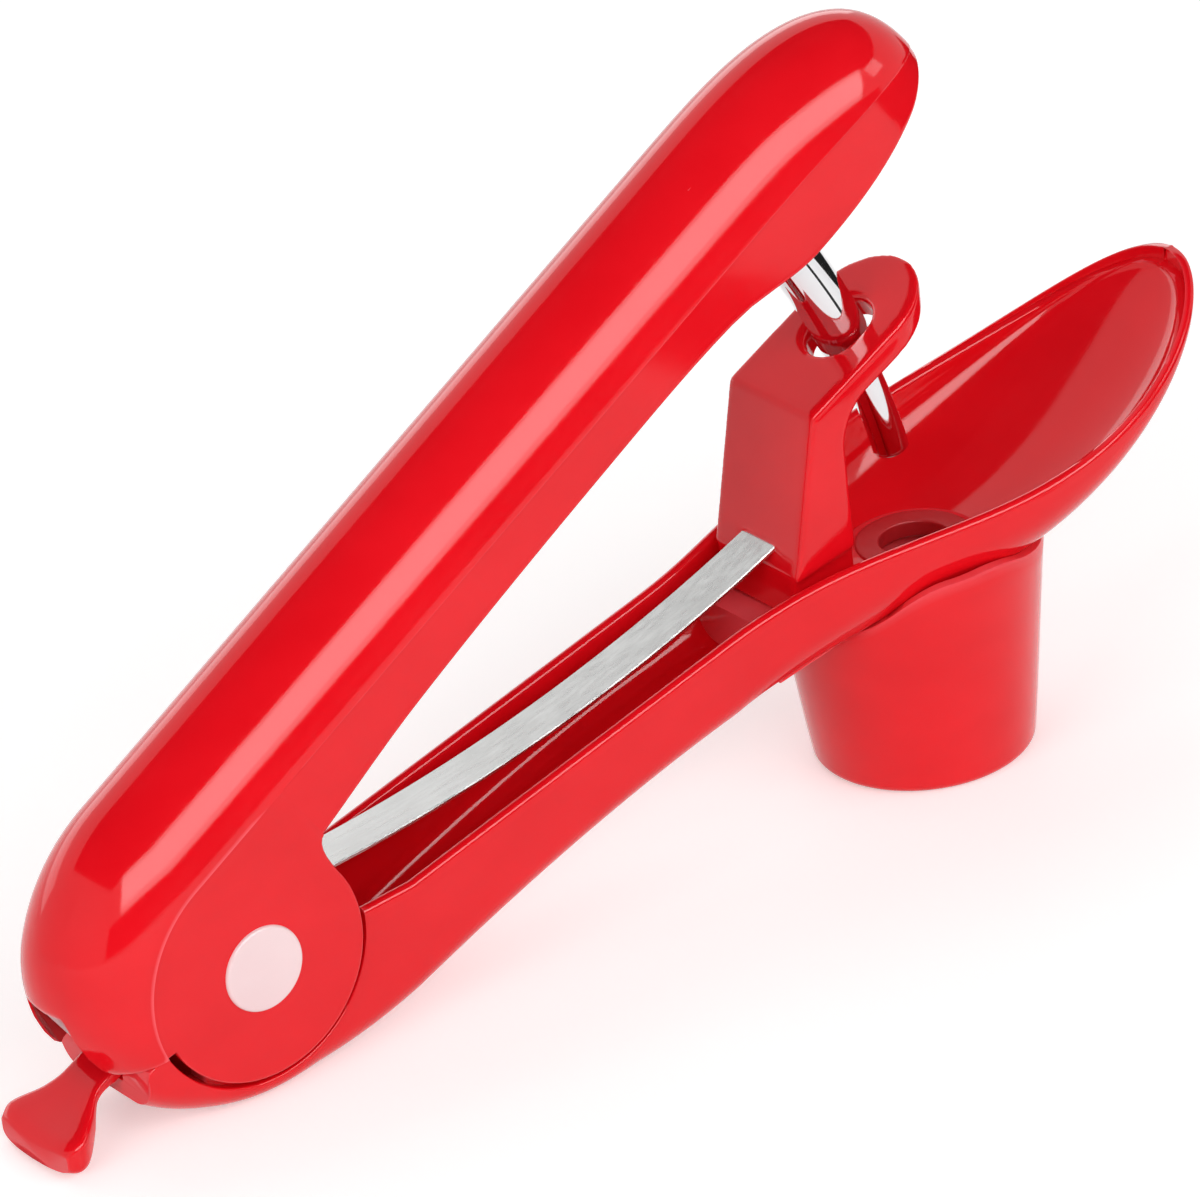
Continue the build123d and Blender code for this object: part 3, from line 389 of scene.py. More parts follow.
def rear_radius(angle, wall):
    """Radius of the crown round the rear."""
    drawn_in = clamped((angle - REAR_ROUND_ANGLE) / (REAR_EDGE_ANGLE - REAR_ROUND_ANGLE))
    return CROWN_TOP - wall - (CROWN_TOP - REAR_EDGE_TOP) * drawn_in**REAR_POWER


def rear_loops():
    """Crown from the heel over the hinge and down the back, with the notch in its lower edge."""
    outer = crown_arc(CROWN_HALF, CROWN_STEPS + REAR_EXTRA_STEPS)
    inside = list(reversed(crown_arc(CROWN_HALF - HANDLE_WALL, INNER_STEPS + REAR_EXTRA_STEPS)))
    skins = ((outer, 0.0), (inside, HANDLE_WALL))
    loops = []
    for u in HEEL_STATIONS:
        loops.append([on_handle(u, y, CROWN_SIDE + (CROWN_TOP - wall - CROWN_SIDE) * rise)
                      for points, wall in skins for y, rise in points])
    first = 90.0 + math.degrees(OPEN_ANGLE)
    for step in range(1, REAR_STEPS + 1):
        share = step / REAR_STEPS
        loop = []
        for points, wall in skins:
            rounding = REAR_EDGE_ROUND if wall == 0.0 else REAR_EDGE_ROUND_INSIDE
            edge = rounding if share > REAR_EDGE_SHARE else 0.0
            for y, rise in points:
                notch = eased(clamped((abs(y) - NOTCH_HALF + NOTCH_SOFT_START) / NOTCH_SOFT_WIDTH))
                last = NOTCH_EDGE_ANGLE + (REAR_EDGE_ANGLE - NOTCH_EDGE_ANGLE) * notch
                angle = first + (last - first) * share
                top = rear_radius(angle, wall)
                loop.append(on_arc(CROWN_SIDE + (top - edge - CROWN_SIDE) * rise, y, angle))
        loops.append(loop)
    return loops


def cheek_outline():
    """Flat cheek round the hinge, in side view, as points along and up from the handle's centre line."""
    under_crown = CROWN_SIDE + CHEEK_UNDER_CROWN
    rear = REAR_EDGE_ANGLE - math.degrees(OPEN_ANGLE)
    disc_end = 360.0 + math.degrees(math.asin(DISC_END_LEVEL / DISC_RADIUS))
    points = [(HEEL, under_crown), (HEEL / 2, under_crown)]
    points += arc_points(under_crown, 90.0, rear, CHEEK_ARC_STEPS)
    points += arc_points(DISC_RADIUS, rear + DISC_START_TURN, disc_end, DISC_STEPS)
    points += [*DISC_FILLET, (HEEL, UNDERSIDE[0][1])]
    return points


def upper_handle_shell():
    """Crown and cheeks of the upper handle, the web in its hub and the boss for the plunger."""
    shell = Shell()
    loops = []
    for step in range(STRAIGHT_STEPS):
        u = HEEL + (NOSE_START - HEEL) * step / STRAIGHT_STEPS
        loops.append(handle_loop(u, u))
        if step == 0:
            loops.append(handle_loop(u + SEAM_STEP, u + SEAM_STEP))
    tip = NOSE_START + NOSE_LENGTH
    tip_in = tip - HANDLE_WALL
    for step in range(NOSE_STEPS + 1):
        share = math.sin(math.radians(NOSE_TURN * step / NOSE_STEPS))
        outside = NOSE_START + (tip - NOSE_START) * share
        inside = NOSE_START + (tip_in - NOSE_START) * share
        loops.append(handle_loop(outside, inside))
    shell.loops(loops)
    shell.loops(rear_loops())
    cheek = CROWN_HALF - CHEEK_RECESS
    outline = cheek_outline()
    for side in (-1, 1):
        inner = side * (cheek - HANDLE_WALL + CHEEK_RECESS)
        shell.plate(outline, inner, side * cheek, CHEEK_PLATE_EDGE * side, on_handle, seam=HEEL)
    hub = [polar(HUB_RADIUS, angle) for angle in range(0, 360, HUB_STEP)]
    shell.plate(hub, -WEB_HALF, WEB_HALF, WEB_EDGE, on_handle)
    shell.plate(WEB_RIB, -WEB_HALF, WEB_HALF, WEB_EDGE, on_handle)
    boss = [(BOSS_MIDDLE + u, w) for u, w in BOSS_OUTLINE]
    shell.plate(boss, -BOSS_HALF, BOSS_HALF, BOSS_EDGE, on_handle)
    piece = shell.build("upper_handle_shell")
    # The seam across the heel is not a real edge, so it gets no painted edge highlight
    no_edge_highlight = piece.data.attributes.new("no_edge_highlight", "FLOAT", "POINT")
    along = (on_handle(1.0, 0.0, 0.0) - on_handle(0.0, 0.0, 0.0)).normalized()
    seam = along.dot(on_handle(HEEL, 0.0, 0.0))
    for vertex, mark in zip(piece.data.vertices, no_edge_highlight.data):
        mark.value = 1.0 if abs(along.dot(vertex.co) - seam) < SEAM_TOLERANCE else 0.0
    return piece


# Lower handle
SIDE_STEPS = 8
CORNER_STEPS = 14
FLOOR_STEPS = 8
RIM_STEPS = 4
LEAST_DEPTH = 0.6
CUP_CORNER_X = 0.86
CUP_CORNER_Z = 0.8
STEEPEST_SHARE = 0.93
CUP_TIP_INSIDE = CUP_TIP - 1.4 * LOWER_WALL
LEAST_TIP_WALL = 0.2 * LOWER_WALL
SLOT_END = -8.0
SLOT_HALF = 4.0
SLOT_CORNER = 0.4
SLOT_FLOOR_SLOPE = 0.5095
SLOT_FLOOR_DROP = 1.9
POCKET_FLOOR_RISE = 3.1
POCKET_FLOOR_LENGTH = 25.4
RIM_ROUND = 0.85
POCKET_RIM_ROUND = 0.35
LEAST_RIM = 0.02
HULL_REAR_STATIONS = (0.0, 0.3, 1.2, 2.2)
HULL_REAR_PINCH = 0.5
POCKET_START_ANGLE = -67.0
POCKET_STEPS = 44
POCKET_END_STATIONS = (16.62, 16.8, 17.4, 18.6, 20.4, 22.4, 24.2)
AHEAD_OF_HINGE = 0.01
HULL_STEPS = 44
CUP_STEPS = 48
FLOOR_BORE = ((0.01, -2.0), (8.0, -2.0), (8.0, 9.5), (0.01, 9.5))
FLOOR_BORE_SEGMENTS = 64
EAR_FOOT = ((-9.35, -17.4), (9.35, -17.4))
EAR_RADIUS = 11.0
EAR_ANGLES = range(-30, 211, 8)
EAR_INNER = 5.2
EAR_OUTER = 8.6
EAR_EDGE = 0.4
DECK = ((86.0, 4.0), (101.3, 6.6), (101.3, DECK_LEVEL), (86.0, DECK_LEVEL))
DECK_EDGE = 0.3
SEAT_BOSS = ((5.8, 4.0), (9.9, 4.0), (9.9, 9.0), (9.5, 9.75), (8.8, 10.0), (8.0, 10.0), (8.0, 8.0),
             (5.8, 8.0))
SPIGOT = ((12.2, -0.6), (14.0, -0.6), (14.0, 6.2), (12.2, 6.2))


def rim_height(x):
    """Height of the rim: sloped behind the hinge, then the lever's line and the sweep up to the tip."""
    if x < 0:
        return x * BLOCK_SLOPE
    if x < HULL_LOFT_START:
        return rim_height(HULL_LOFT_START) * x / HULL_LOFT_START
    straight_end = min(x, CUP_RIM_START)
    lever = RIM_LEVEL + straight_end * LEVER_SLOPE
    length = CUP_TIP - CUP_RIM_START
    share = (x - straight_end) / length
    return (lever + (CUP_TIP_HEIGHT - lever) * share**2 * (3 - 2 * share)
            + LEVER_SLOPE * length * share * (1 - share)**2 - CUP_TIP_SLOPE * length * share**2 * (1 - share))


def belly_height(x):
    """Height of the underside: an arc under the hinge, the rising hull and the underside of the cup."""
    if x < HULL_LOFT_START:
        reach, height = (HULL_LOFT_START, HULL_LOFT_HEIGHT) if x > 0 else (HULL_REAR, HULL_REAR_HEIGHT)
        rise = height + PIVOT_HEIGHT
        radius = (reach**2 + rise**2) / (2 * rise)
        return radius - PIVOT_HEIGHT - math.sqrt(radius**2 - x**2)
    if x < BELLY_END:
        share = (BELLY_END - x) / (BELLY_END - HULL_LOFT_START)
        return BELLY_LEVEL + (HULL_LOFT_HEIGHT - BELLY_LEVEL) * share**BELLY_POWER
    share = (x - BELLY_END) / (CUP_TIP - BELLY_END)
    return BELLY_LEVEL + (CUP_TIP_HEIGHT - CUP_TIP_DEPTH - BELLY_LEVEL) * share**CUP_BELLY_POWER


def cup_half_width(x, tip):
    """Half the width of the channel, which widens into the cup and closes at its tip."""
    widening = clamped((x - CUP_WIDE_START) / (CUP_WIDEST - CUP_WIDE_START))
    widened = CHANNEL_HALF + (CUP_HALF - CHANNEL_HALF) * widening**2 * (3 - 2 * widening)
    narrowing = clamped((x - CUP_WIDEST) / (tip - CUP_WIDEST))
    return widened * math.sqrt(1 - narrowing**2)


def bowl_line(half, top, low, corner_x, corner_z):
    """Right half of a section, from its top edge down and round to the middle of its floor."""
    corner_z = min(corner_z, max(top - low, 0.0))
    corner_x = min(corner_x, half)
    points = [(half, top - (top - low - corner_z) * step / SIDE_STEPS) for step in range(SIDE_STEPS)]
    for step in range(CORNER_STEPS + 1):
        turn = math.radians(90.0 * step / CORNER_STEPS)
        points.append((half - corner_x * (1 - math.cos(turn)), low + corner_z * (1 - math.sin(turn))))
    for step in range(1, FLOOR_STEPS + 1):
        points.append(((half - corner_x) * (1 - step / FLOOR_STEPS), low))
    return points


def hull_section(x, top):
    """Level of the floor, half-width, roundness, and the two sizes of the lower corner of the outside."""
    low = min(belly_height(x), top - LEAST_DEPTH)
    half = cup_half_width(x, CUP_TIP)
    roundness = clamped((x - CUP_WIDE_START) / (BELLY_END - CUP_WIDE_START))
    corner_x = HULL_CORNER + roundness * (CUP_CORNER_X * half - HULL_CORNER)
    corner_z = HULL_CORNER + roundness * (CUP_CORNER_Z * (top - low) - HULL_CORNER)
    return low, half, roundness, corner_x, corner_z


def hull_under(x, y):
    """Height of the outside of the hull above a point, or of its side where the point is beyond it."""
    low, half, _, corner_x, corner_z = hull_section(x, rim_height(x))
    beyond_flat = min(max(abs(y) - (half - corner_x), 0.0) / corner_x, STEEPEST_SHARE)
    return low + corner_z * (1 - math.sqrt(1 - beyond_flat**2))


def hollow_section(x, x_inside, top_in):
    """Half-width and floor level of the hollow: the lock's slot, the pocket, or the channel and cup."""
    if x < SLOT_END:
        return SLOT_HALF, SLOT_FLOOR_SLOPE * x - SLOT_FLOOR_DROP
    if x < 0:
        return CHANNEL_HALF - LOWER_WALL, top_in
    if x < HULL_LOFT_START:
        return CHANNEL_HALF - LOWER_WALL, -POCKET_RADIUS + POCKET_FLOOR_RISE * x / POCKET_FLOOR_LENGTH
    half_in = cup_half_width(x_inside, CUP_TIP_INSIDE)
    if x_inside < CUP_WIDEST:
        half_in -= LOWER_WALL
    else:
        half_in = min(half_in * (1 - LOWER_WALL / CUP_HALF), half_in - LEAST_TIP_WALL)
    return half_in, belly_height(x_inside) + LOWER_WALL


def lower_loop(x, x_inside, pocket_top=None):
    """Closed section of the lower handle: outside, rounded rim and the hollow."""
    top = rim_height(x) if pocket_top is None else pocket_top
    top_in = rim_height(x_inside) if pocket_top is None else pocket_top
    low, half, roundness, corner_x, corner_z = hull_section(x, top)
    half_in, low_in = hollow_section(x, x_inside, top_in)
    half_in = max(half_in, 0.0)
    low_in = min(low_in, top_in)
    corner_in = SLOT_CORNER if x < SLOT_END else HULL_CORNER - LOWER_WALL / 2
    corner_in_x = corner_in + roundness * (CUP_CORNER_X * half_in - corner_in)
    corner_in_z = corner_in + roundness * (CUP_CORNER_Z * (top_in - low_in) - corner_in)
    rim = min(RIM_ROUND, max((half - half_in) / 2, LEAST_RIM), max((top - low) / 2, LEAST_RIM))
    if pocket_top is not None:
        rim = min(rim, POCKET_RIM_ROUND)
    outer = bowl_line(half, top - rim, low, corner_x, corner_z)
    inner = bowl_line(half_in, max(top_in - rim, low_in), low_in, corner_in_x, corner_in_z)
    mid_x = (x + x_inside) / 2
    lip = []
    for step in range(1, RIM_STEPS):
        turn = math.radians(90.0 * step / RIM_STEPS)
        lip.append((x + (mid_x - x) * step / RIM_STEPS, half - rim * (1 - math.cos(turn)),
                    top - rim + rim * math.sin(turn)))
    lip.append((mid_x, half - rim, top))
    lip.append((mid_x, half_in + rim, top_in))
    for step in range(1, RIM_STEPS):
        turn = math.radians(90.0 * step / RIM_STEPS)
        lip.append((mid_x + (x_inside - mid_x) * step / RIM_STEPS, half_in + rim * (1 - math.sin(turn)),
                    max(top_in - rim + rim * math.cos(turn), low_in)))
    outside = [(x, y, z) for y, z in outer]
    inside = [(x_inside, y, z) for y, z in inner]
    right = list(reversed(inside)) + list(reversed(lip)) + outside
    left = [(px, -y, z) for px, y, z in reversed(right)]
    return [place(*point) for point in right + left[1:-1]]


def cut_floor_hole(piece):
    """Cuts the hole for the seat through the floor of the cup."""
    bore = Shell()
    bore.lathe(CUP_FLOOR_X, FLOOR_BORE, segments=FLOOR_BORE_SEGMENTS)
    cutter = bore.build("floor_bore")
    cut = piece.modifiers.new("floor_hole", "BOOLEAN")
    cut.operation = "DIFFERENCE"
    cut.solver = "EXACT"
    cut.object = cutter
    applied = bpy.data.meshes.new_from_object(piece.evaluated_get(bpy.context.evaluated_depsgraph_get()))
    piece.modifiers.clear()
    piece.data = applied
    bpy.data.objects.remove(cutter)


def lower_handle_shell():
    """Hull of the lower handle, and as a second piece its ears, deck, seat boss and spigot."""
    shell = Shell()
    loops = []
    for reach in HULL_REAR_STATIONS:
        x = HULL_REAR + reach
        pinch = HULL_REAR_PINCH if reach == 0 else 0.0
        loops.append(lower_loop(x, x, rim_height(x) - pinch))
    for step in range(POCKET_STEPS + 1):
        angle = math.radians(POCKET_START_ANGLE + (90.0 - POCKET_START_ANGLE) * step / POCKET_STEPS)
        x = POCKET_RADIUS * math.sin(angle)
        pocket_top = min(-POCKET_RADIUS * math.cos(angle), rim_height(max(x, AHEAD_OF_HINGE)))
        loops.append(lower_loop(x, x, pocket_top))
    for x in POCKET_END_STATIONS:
        loops.append(lower_loop(x, x))
    for step in range(HULL_STEPS):
        x = HULL_LOFT_START + (CUP_WIDEST - HULL_LOFT_START) * step / HULL_STEPS
        loops.append(lower_loop(x, x))
    for step in range(CUP_STEPS + 1):
        share = math.sin(math.radians(90.0 * step / CUP_STEPS))
        outside = CUP_WIDEST + (CUP_TIP - CUP_WIDEST) * share
        inside = CUP_WIDEST + (CUP_TIP_INSIDE - CUP_WIDEST) * share
        loops.append(lower_loop(outside, inside))
    shell.loops(loops)
    piece = shell.build("lower_handle_shell")
    cut_floor_hole(piece)
    extras = Shell()
    ear = [*EAR_FOOT, *(polar(EAR_RADIUS, angle) for angle in EAR_ANGLES)]
    for side in (-1, 1):
        extras.plate(ear, side * EAR_INNER, side * EAR_OUTER, EAR_EDGE * side)
    extras.plate(DECK, -EAR_OUTER, EAR_OUTER, DECK_EDGE)
    extras.lathe(CUP_FLOOR_X, SEAT_BOSS)
    extras.lathe(PIVOT_TO_CHUTE, SPIGOT)
    return piece, extras.build("lower_handle_parts")


# Chute
CHUTE_FOOT = 15.0
CHUTE_TOP = 18.4
CHUTE_HEIGHT = 28.5
CHUTE_TAPER = (CHUTE_TOP - CHUTE_FOOT) / CHUTE_HEIGHT
CHUTE_WALL = 1.9
CHUTE_OVERLAP = 0.15
CHUTE_EDGE = 0.25
CHUTE_SEGMENTS = 144
CHUTE_SHARES = (0.15, 0.3, 0.45, 0.6, 0.75, 0.9, 0.985)
FOOT_ROUND = 1.4
FOOT_REACH = 1.5
FOOT_STEPS = 5
FIRST_TOP = 6.0
TOP_TRIES = 6
TOP_AVERAGE = 4
FUNNEL_TOP = 8.0
OUTLET = 12.4
OUTLET_LENGTH = 5.0


def chute_tops():
    """Heights of the chute's upper edge round it, where its inside meets the underside of the hull."""
    tops = []
    for step in range(CHUTE_SEGMENTS):
        turn = 2 * math.pi * step / CHUTE_SEGMENTS
        top = FIRST_TOP
        for _ in range(TOP_TRIES):
            inner = CHUTE_FOOT - CHUTE_WALL + CHUTE_TAPER * (top + PIVOT_HEIGHT)
            under = hull_under(PIVOT_TO_CHUTE + inner * math.cos(turn), inner * math.sin(turn))
            top = under + CHUTE_OVERLAP
        tops.append(top)
    return tops


def chute_shell():
    """Tapered tube with a rounded foot. Its upper edge follows the underside of the hull."""
    tops = chute_tops()
    rings = []
    for step in range(CHUTE_SEGMENTS):
        turn = 2 * math.pi * step / CHUTE_SEGMENTS
        near = [tops[(step + k) % CHUTE_SEGMENTS] for k in range(-TOP_AVERAGE, TOP_AVERAGE + 1)]
        rise = sum(near) / len(near) + PIVOT_HEIGHT
        outer = CHUTE_FOOT + CHUTE_TAPER * rise
        inner = outer - CHUTE_WALL
        profile = [(OUTLET, 0.0), (CHUTE_FOOT - FOOT_ROUND, 0.0)]
        for part in range(1, FOOT_STEPS + 1):
            bend = math.radians(90.0 * part / FOOT_STEPS)
            profile.append((CHUTE_FOOT - FOOT_ROUND + FOOT_REACH * math.sin(bend),
                            FOOT_ROUND * (1 - math.cos(bend))))
        for share in CHUTE_SHARES:
            height = FOOT_ROUND + (rise - FOOT_ROUND) * share
            profile.append((CHUTE_FOOT + CHUTE_TAPER * height, height))
        profile += [(outer - CHUTE_EDGE, rise), (inner + CHUTE_EDGE, rise), (inner, rise - CHUTE_EDGE)]
        profile += [(CHUTE_FOOT - CHUTE_WALL + CHUTE_TAPER * FUNNEL_TOP, FUNNEL_TOP), (OUTLET, OUTLET_LENGTH)]
        cosine = math.cos(turn)
        sine = math.sin(turn)
        rings.append([place(PIVOT_TO_CHUTE + radius * cosine, radius * sine, height - PIVOT_HEIGHT)
                      for radius, height in profile])
    shell = Shell()
    shell.round_trip(rings)
    return shell.build("chute_shell", sharp=40.0)


# Lock slider
LOCK_ANGLE = math.radians(27.0)
TAB_ROOT = 15.0
TAB_END = 30.2
TAB_TOP = ((15.0, -7.4), (17.5, -8.4), (19.5, -9.3), (22.0, -10.6), (25.0, -12.6), (30.2, -14.4))
TAB_BOTTOM = ((15.0, -9.2), (18.5, -11.0), (22.4, -12.9), (24.5, -16.6), (27.0, -18.9), (30.2, -19.3))
TAB_HALF = ((15.0, 3.8), (18.5, 3.8), (22.4, 3.8), (24.6, 5.6), (27.6, 7.9), (30.2, 8.1))
TAB_STEPS = 36
TAB_SIDES = 64
TAB_SQUARENESS = 0.42
TAB_BULGE = 0.9
TAB_DISH = 1.1
TAB_END_ROUND = 0.7
TAB_END_STEPS = 4
LOCK_BAR = ((-18.9, 0.8), (-20.5, 0.8), (-20.5, -0.8), (-18.9, -0.8))
LOCK_BAR_HALF = 3.8
LOCK_BAR_EDGE = 0.2


def on_lock(u, y, w):
    """Point of the slider: along its line, across it and up from it."""
    return tilted(u, y, w, LOCK_ANGLE)


def lock_slider_shell():
    """Dished tab on a concave neck, and the short bar at the neck's root."""
    shell = Shell()
    loops = []
    for step in range(TAB_STEPS + 1):
        reach = TAB_ROOT + (TAB_END - TAB_ROOT) * step / TAB_STEPS
        grown = (step / TAB_STEPS) ** 2
        half = smooth_line(TAB_HALF, reach)
        top = smooth_line(TAB_TOP, reach)
        bottom = smooth_line(TAB_BOTTOM, reach)
        shrink = 0.0
        if step > TAB_STEPS - TAB_END_STEPS:
            turn = math.radians(90.0 * (step - TAB_STEPS + TAB_END_STEPS) / TAB_END_STEPS)
            shrink = TAB_END_ROUND * (1 - math.cos(turn))
        loop = []
        for i in range(TAB_SIDES):
            turn = 2 * math.pi * i / TAB_SIDES
            c = math.cos(turn)
            d = math.sin(turn)
            y = math.copysign(abs(c) ** TAB_SQUARENESS, c) * (half - shrink)
            z = math.copysign(abs(d) ** TAB_SQUARENESS, d) * ((top - bottom) / 2 - shrink)
            bulge = TAB_BULGE * grown * (1 - (y / half) ** 2)
            dish = TAB_DISH * grown * (1 - (y / half) ** 2) if d > 0 else 0.0
            loop.append(place(-reach - bulge, y, (top + bottom) / 2 + z - dish))
        loops.append(loop)
    shell.loops(loops)
    shell.plate(LOCK_BAR, -LOCK_BAR_HALF, LOCK_BAR_HALF, LOCK_BAR_EDGE, on_lock)
    return shell.build("lock_slider_shell", sharp=50.0)


# Rod and spring
SHANK_RADIUS = 3.6
TIP_RADIUS = 2.45
ROD_LOW_ANGLE = 12.2
ROD_STEP_ANGLE = 21.5
ROD_HIGH_ANGLE = 41.5
ROD_STEPS = 48
ROD_SIDES = 64
ROD_CHAMFER = 0.5
CHAMFER_TURN = 0.2
CHAMFER_MIDDLE = (0.08, 0.3)
SPRING_FOOT = (96.5, 22.4)
SPRING_MID = (53.2, 9.0)
SPRING_END = (13.0, 4.2)
SPRING_HALF = 3.5
SPRING_HALF_THICKNESS = 0.3
SPRING_EDGE = 0.14
SPRING_STEPS = 96


def rod(name, radius, low_angle, high_angle):
    """Bent rod along the arc that the handle swings through, its lower end slightly rounded."""
    shell = Shell()
    loops = []
    straight_start = low_angle + CHAMFER_TURN
    middle_turn, middle_share = CHAMFER_MIDDLE
    stations = [(low_angle, radius - ROD_CHAMFER),
                (low_angle + middle_turn, radius - middle_share * ROD_CHAMFER),
                (straight_start, radius)]
    for step in range(1, ROD_STEPS + 1):
        stations.append((straight_start + (high_angle - low_angle - CHAMFER_TURN) * step / ROD_STEPS, radius))
    for angle, r in stations:
        loop = []
        for step in range(ROD_SIDES):
            turn = 2 * math.pi * step / ROD_SIDES
            loop.append(on_arc(ROD_ARC_RADIUS + r * math.cos(turn), r * math.sin(turn), angle))
        loops.append(loop)
    shell.loops(loops)
    return shell.build(name, sharp=50.0)


def circle_through(a, b, c):
    """Centre and radius of the circle through three points of the side view."""
    ax, ay = a
    bx, by = b
    cx, cy = c
    d = 2 * (ax * (by - cy) + bx * (cy - ay) + cx * (ay - by))
    ux = ((ax**2 + ay**2) * (by - cy) + (bx**2 + by**2) * (cy - ay) + (cx**2 + cy**2) * (ay - by)) / d
    uy = ((ax**2 + ay**2) * (cx - bx) + (bx**2 + by**2) * (ax - cx) + (cx**2 + cy**2) * (bx - ax)) / d
    return (ux, uy), math.hypot(ax - ux, ay - uy)


def spring_strip():
    """Bare steel strip, one even bow from the bracket to the hub, with rolled edges."""
    centre, radius = circle_through(SPRING_END, SPRING_MID, SPRING_FOOT)
    first = math.atan2(SPRING_END[1] - centre[1], SPRING_END[0] - centre[0])
    last = math.atan2(SPRING_FOOT[1] - centre[1], SPRING_FOOT[0] - centre[0])
    half, thick, edge = SPRING_HALF, SPRING_HALF_THICKNESS, SPRING_EDGE
    section = [(half, thick - edge), (half - edge, thick), (edge - half, thick), (-half, thick - edge),
               (-half, edge - thick), (edge - half, -thick), (half - edge, -thick), (half, edge - thick)]
    loops = []
    for step in range(SPRING_STEPS + 1):
        angle = first + (last - first) * step / SPRING_STEPS
        cosine = math.cos(angle)
        sine = math.sin(angle)
        loops.append([place(centre[0] + (radius + out) * cosine, y, centre[1] + (radius + out) * sine)
                      for y, out in section])
    shell = Shell()
    shell.loops(loops)
    return shell.build("leaf_spring_strip", sharp=30.0)


# Materials
NOISE_LOW = 0.3
NOISE_HIGH = 0.7
FLOW_SCALE = 60.0
FLOW_STRETCH = (1.0, 1.0, 1.6)
FLOW_DEPTH = 0.0004
SCUFF_SCALE = 900.0
SCUFF_STRETCH = (1.0, 0.35, 1.0)
CLOUD_SCALE = 120.0
GRAIN_SCALE = 1400.0
FINE_DEPTH = 0.00002
# Pointiness range over which the painted edge highlight grows
EDGE_START = 0.53
EDGE_FULL = 0.58


def new_material(name):
    """Material with nodes, and its nodes, links and shader."""
    material = bpy.data.materials.new(name)
    material.use_nodes = True
    nodes = material.node_tree.nodes
    return material, nodes, material.node_tree.links, nodes["Principled BSDF"]


def noise(nodes, links, scale, detail, stretch=(1, 1, 1)):
    """Noise in the object's own coordinates, with an optional stretch."""
    coordinates = nodes.new("ShaderNodeTexCoord")
    mapping = nodes.new("ShaderNodeMapping")
    mapping.inputs["Scale"].default_value = stretch
    texture = nodes.new("ShaderNodeTexNoise")
    texture.inputs["Scale"].default_value = scale
    texture.inputs["Detail"].default_value = detail
    links.new(coordinates.outputs["Object"], mapping.inputs["Vector"])
    links.new(mapping.outputs["Vector"], texture.inputs["Vector"])
    return texture.outputs["Fac"]


def ramp(nodes, links, source, low, high):
    """Maps a noise to a range of values."""
    change = nodes.new("ShaderNodeMapRange")
    change.inputs["From Min"].default_value = NOISE_LOW
    change.inputs["From Max"].default_value = NOISE_HIGH
    change.inputs["To Min"].default_value = low
    change.inputs["To Max"].default_value = high
    links.new(source, change.inputs["Value"])
    return change.outputs["Result"]


def tint(nodes, links, factor, first, second):
    """Colour between two colours by a factor."""
    mix = nodes.new("ShaderNodeMix")
    mix.data_type = "RGBA"
    mix.inputs["A"].default_value = (*first, 1)
    mix.inputs["B"].default_value = (*second, 1)
    links.new(factor, mix.inputs["Factor"])
    return mix.outputs["Result"]


def bumps(nodes, links, shader, sources):
    """Chains height fields, each with its strength and depth in metres, into the shader's normal."""
    normal = None
    for height, strength, depth in sources:
        bump = nodes.new("ShaderNodeBump")
        bump.inputs["Strength"].default_value = strength
        bump.inputs["Distance"].default_value = depth
        links.new(height, bump.inputs["Height"])
        if normal is not None:
            links.new(normal, bump.inputs["Normal"])
        normal = bump.outputs["Normal"]
    links.new(normal, shader.inputs["Normal"])


def plastic(name, first, second, edge_highlight, rough_low, rough_high, shine=0.5, edge_highlight_strength=0.3):
    """Glossy moulded plastic: faint flow marks, fine scuffs, and a painted highlight that makes sharp convex
    edges paler.
    """
    material, nodes, links, shader = new_material(name)
    flow = noise(nodes, links, FLOW_SCALE, 2.0, FLOW_STRETCH)
    scuff = noise(nodes, links, SCUFF_SCALE, 5.0, SCUFF_STRETCH)
    body = tint(nodes, links, ramp(nodes, links, flow, 0.0, 1.0), first, second)
    # Painted highlight: where pointiness finds a sharp convex edge, the colour is mixed towards a paler tone,
    # except on points marked to go without it
    geometry = nodes.new("ShaderNodeNewGeometry")
    edge = nodes.new("ShaderNodeMapRange")
    edge.inputs["From Min"].default_value = EDGE_START
    edge.inputs["From Max"].default_value = EDGE_FULL
    edge.inputs["To Max"].default_value = edge_highlight_strength
    links.new(geometry.outputs["Pointiness"], edge.inputs["Value"])
    no_edge_highlight = nodes.new("ShaderNodeAttribute")
    no_edge_highlight.attribute_name = "no_edge_highlight"
    highlight_share = nodes.new("ShaderNodeMath")
    highlight_share.operation = "SUBTRACT"
    highlight_share.use_clamp = True
    links.new(edge.outputs["Result"], highlight_share.inputs[0])
    links.new(no_edge_highlight.outputs["Fac"], highlight_share.inputs[1])
    mix = nodes.new("ShaderNodeMix")
    mix.data_type = "RGBA"
    links.new(highlight_share.outputs["Value"], mix.inputs["Factor"])
    links.new(body, mix.inputs["A"])
    mix.inputs["B"].default_value = (*edge_highlight, 1)
    links.new(mix.outputs["Result"], shader.inputs["Base Color"])
    links.new(ramp(nodes, links, scuff, rough_low, rough_high), shader.inputs["Roughness"])
    shader.inputs["IOR"].default_value = 1.5
    shader.inputs["Specular IOR Level"].default_value = shine
    bumps(nodes, links, shader, [(flow, 0.05, FLOW_DEPTH), (scuff, 0.02, FINE_DEPTH)])
    return material


def metal(name, first, second, rough_low, rough_high, lines, strength):
    """Bare or plated metal: lines is how far the grain is stretched along the strip."""
    material, nodes, links, shader = new_material(name)
    cloud = noise(nodes, links, CLOUD_SCALE, 3.0)
    grain = noise(nodes, links, GRAIN_SCALE, 4.0, lines)
    body = tint(nodes, links, ramp(nodes, links, cloud, 0.0, 1.0), first, second)
    links.new(body, shader.inputs["Base Color"])
    links.new(ramp(nodes, links, grain, rough_low, rough_high), shader.inputs["Roughness"])
    shader.inputs["Metallic"].default_value = 1.0
    bumps(nodes, links, shader, [(grain, strength, FINE_DEPTH)])
    return material
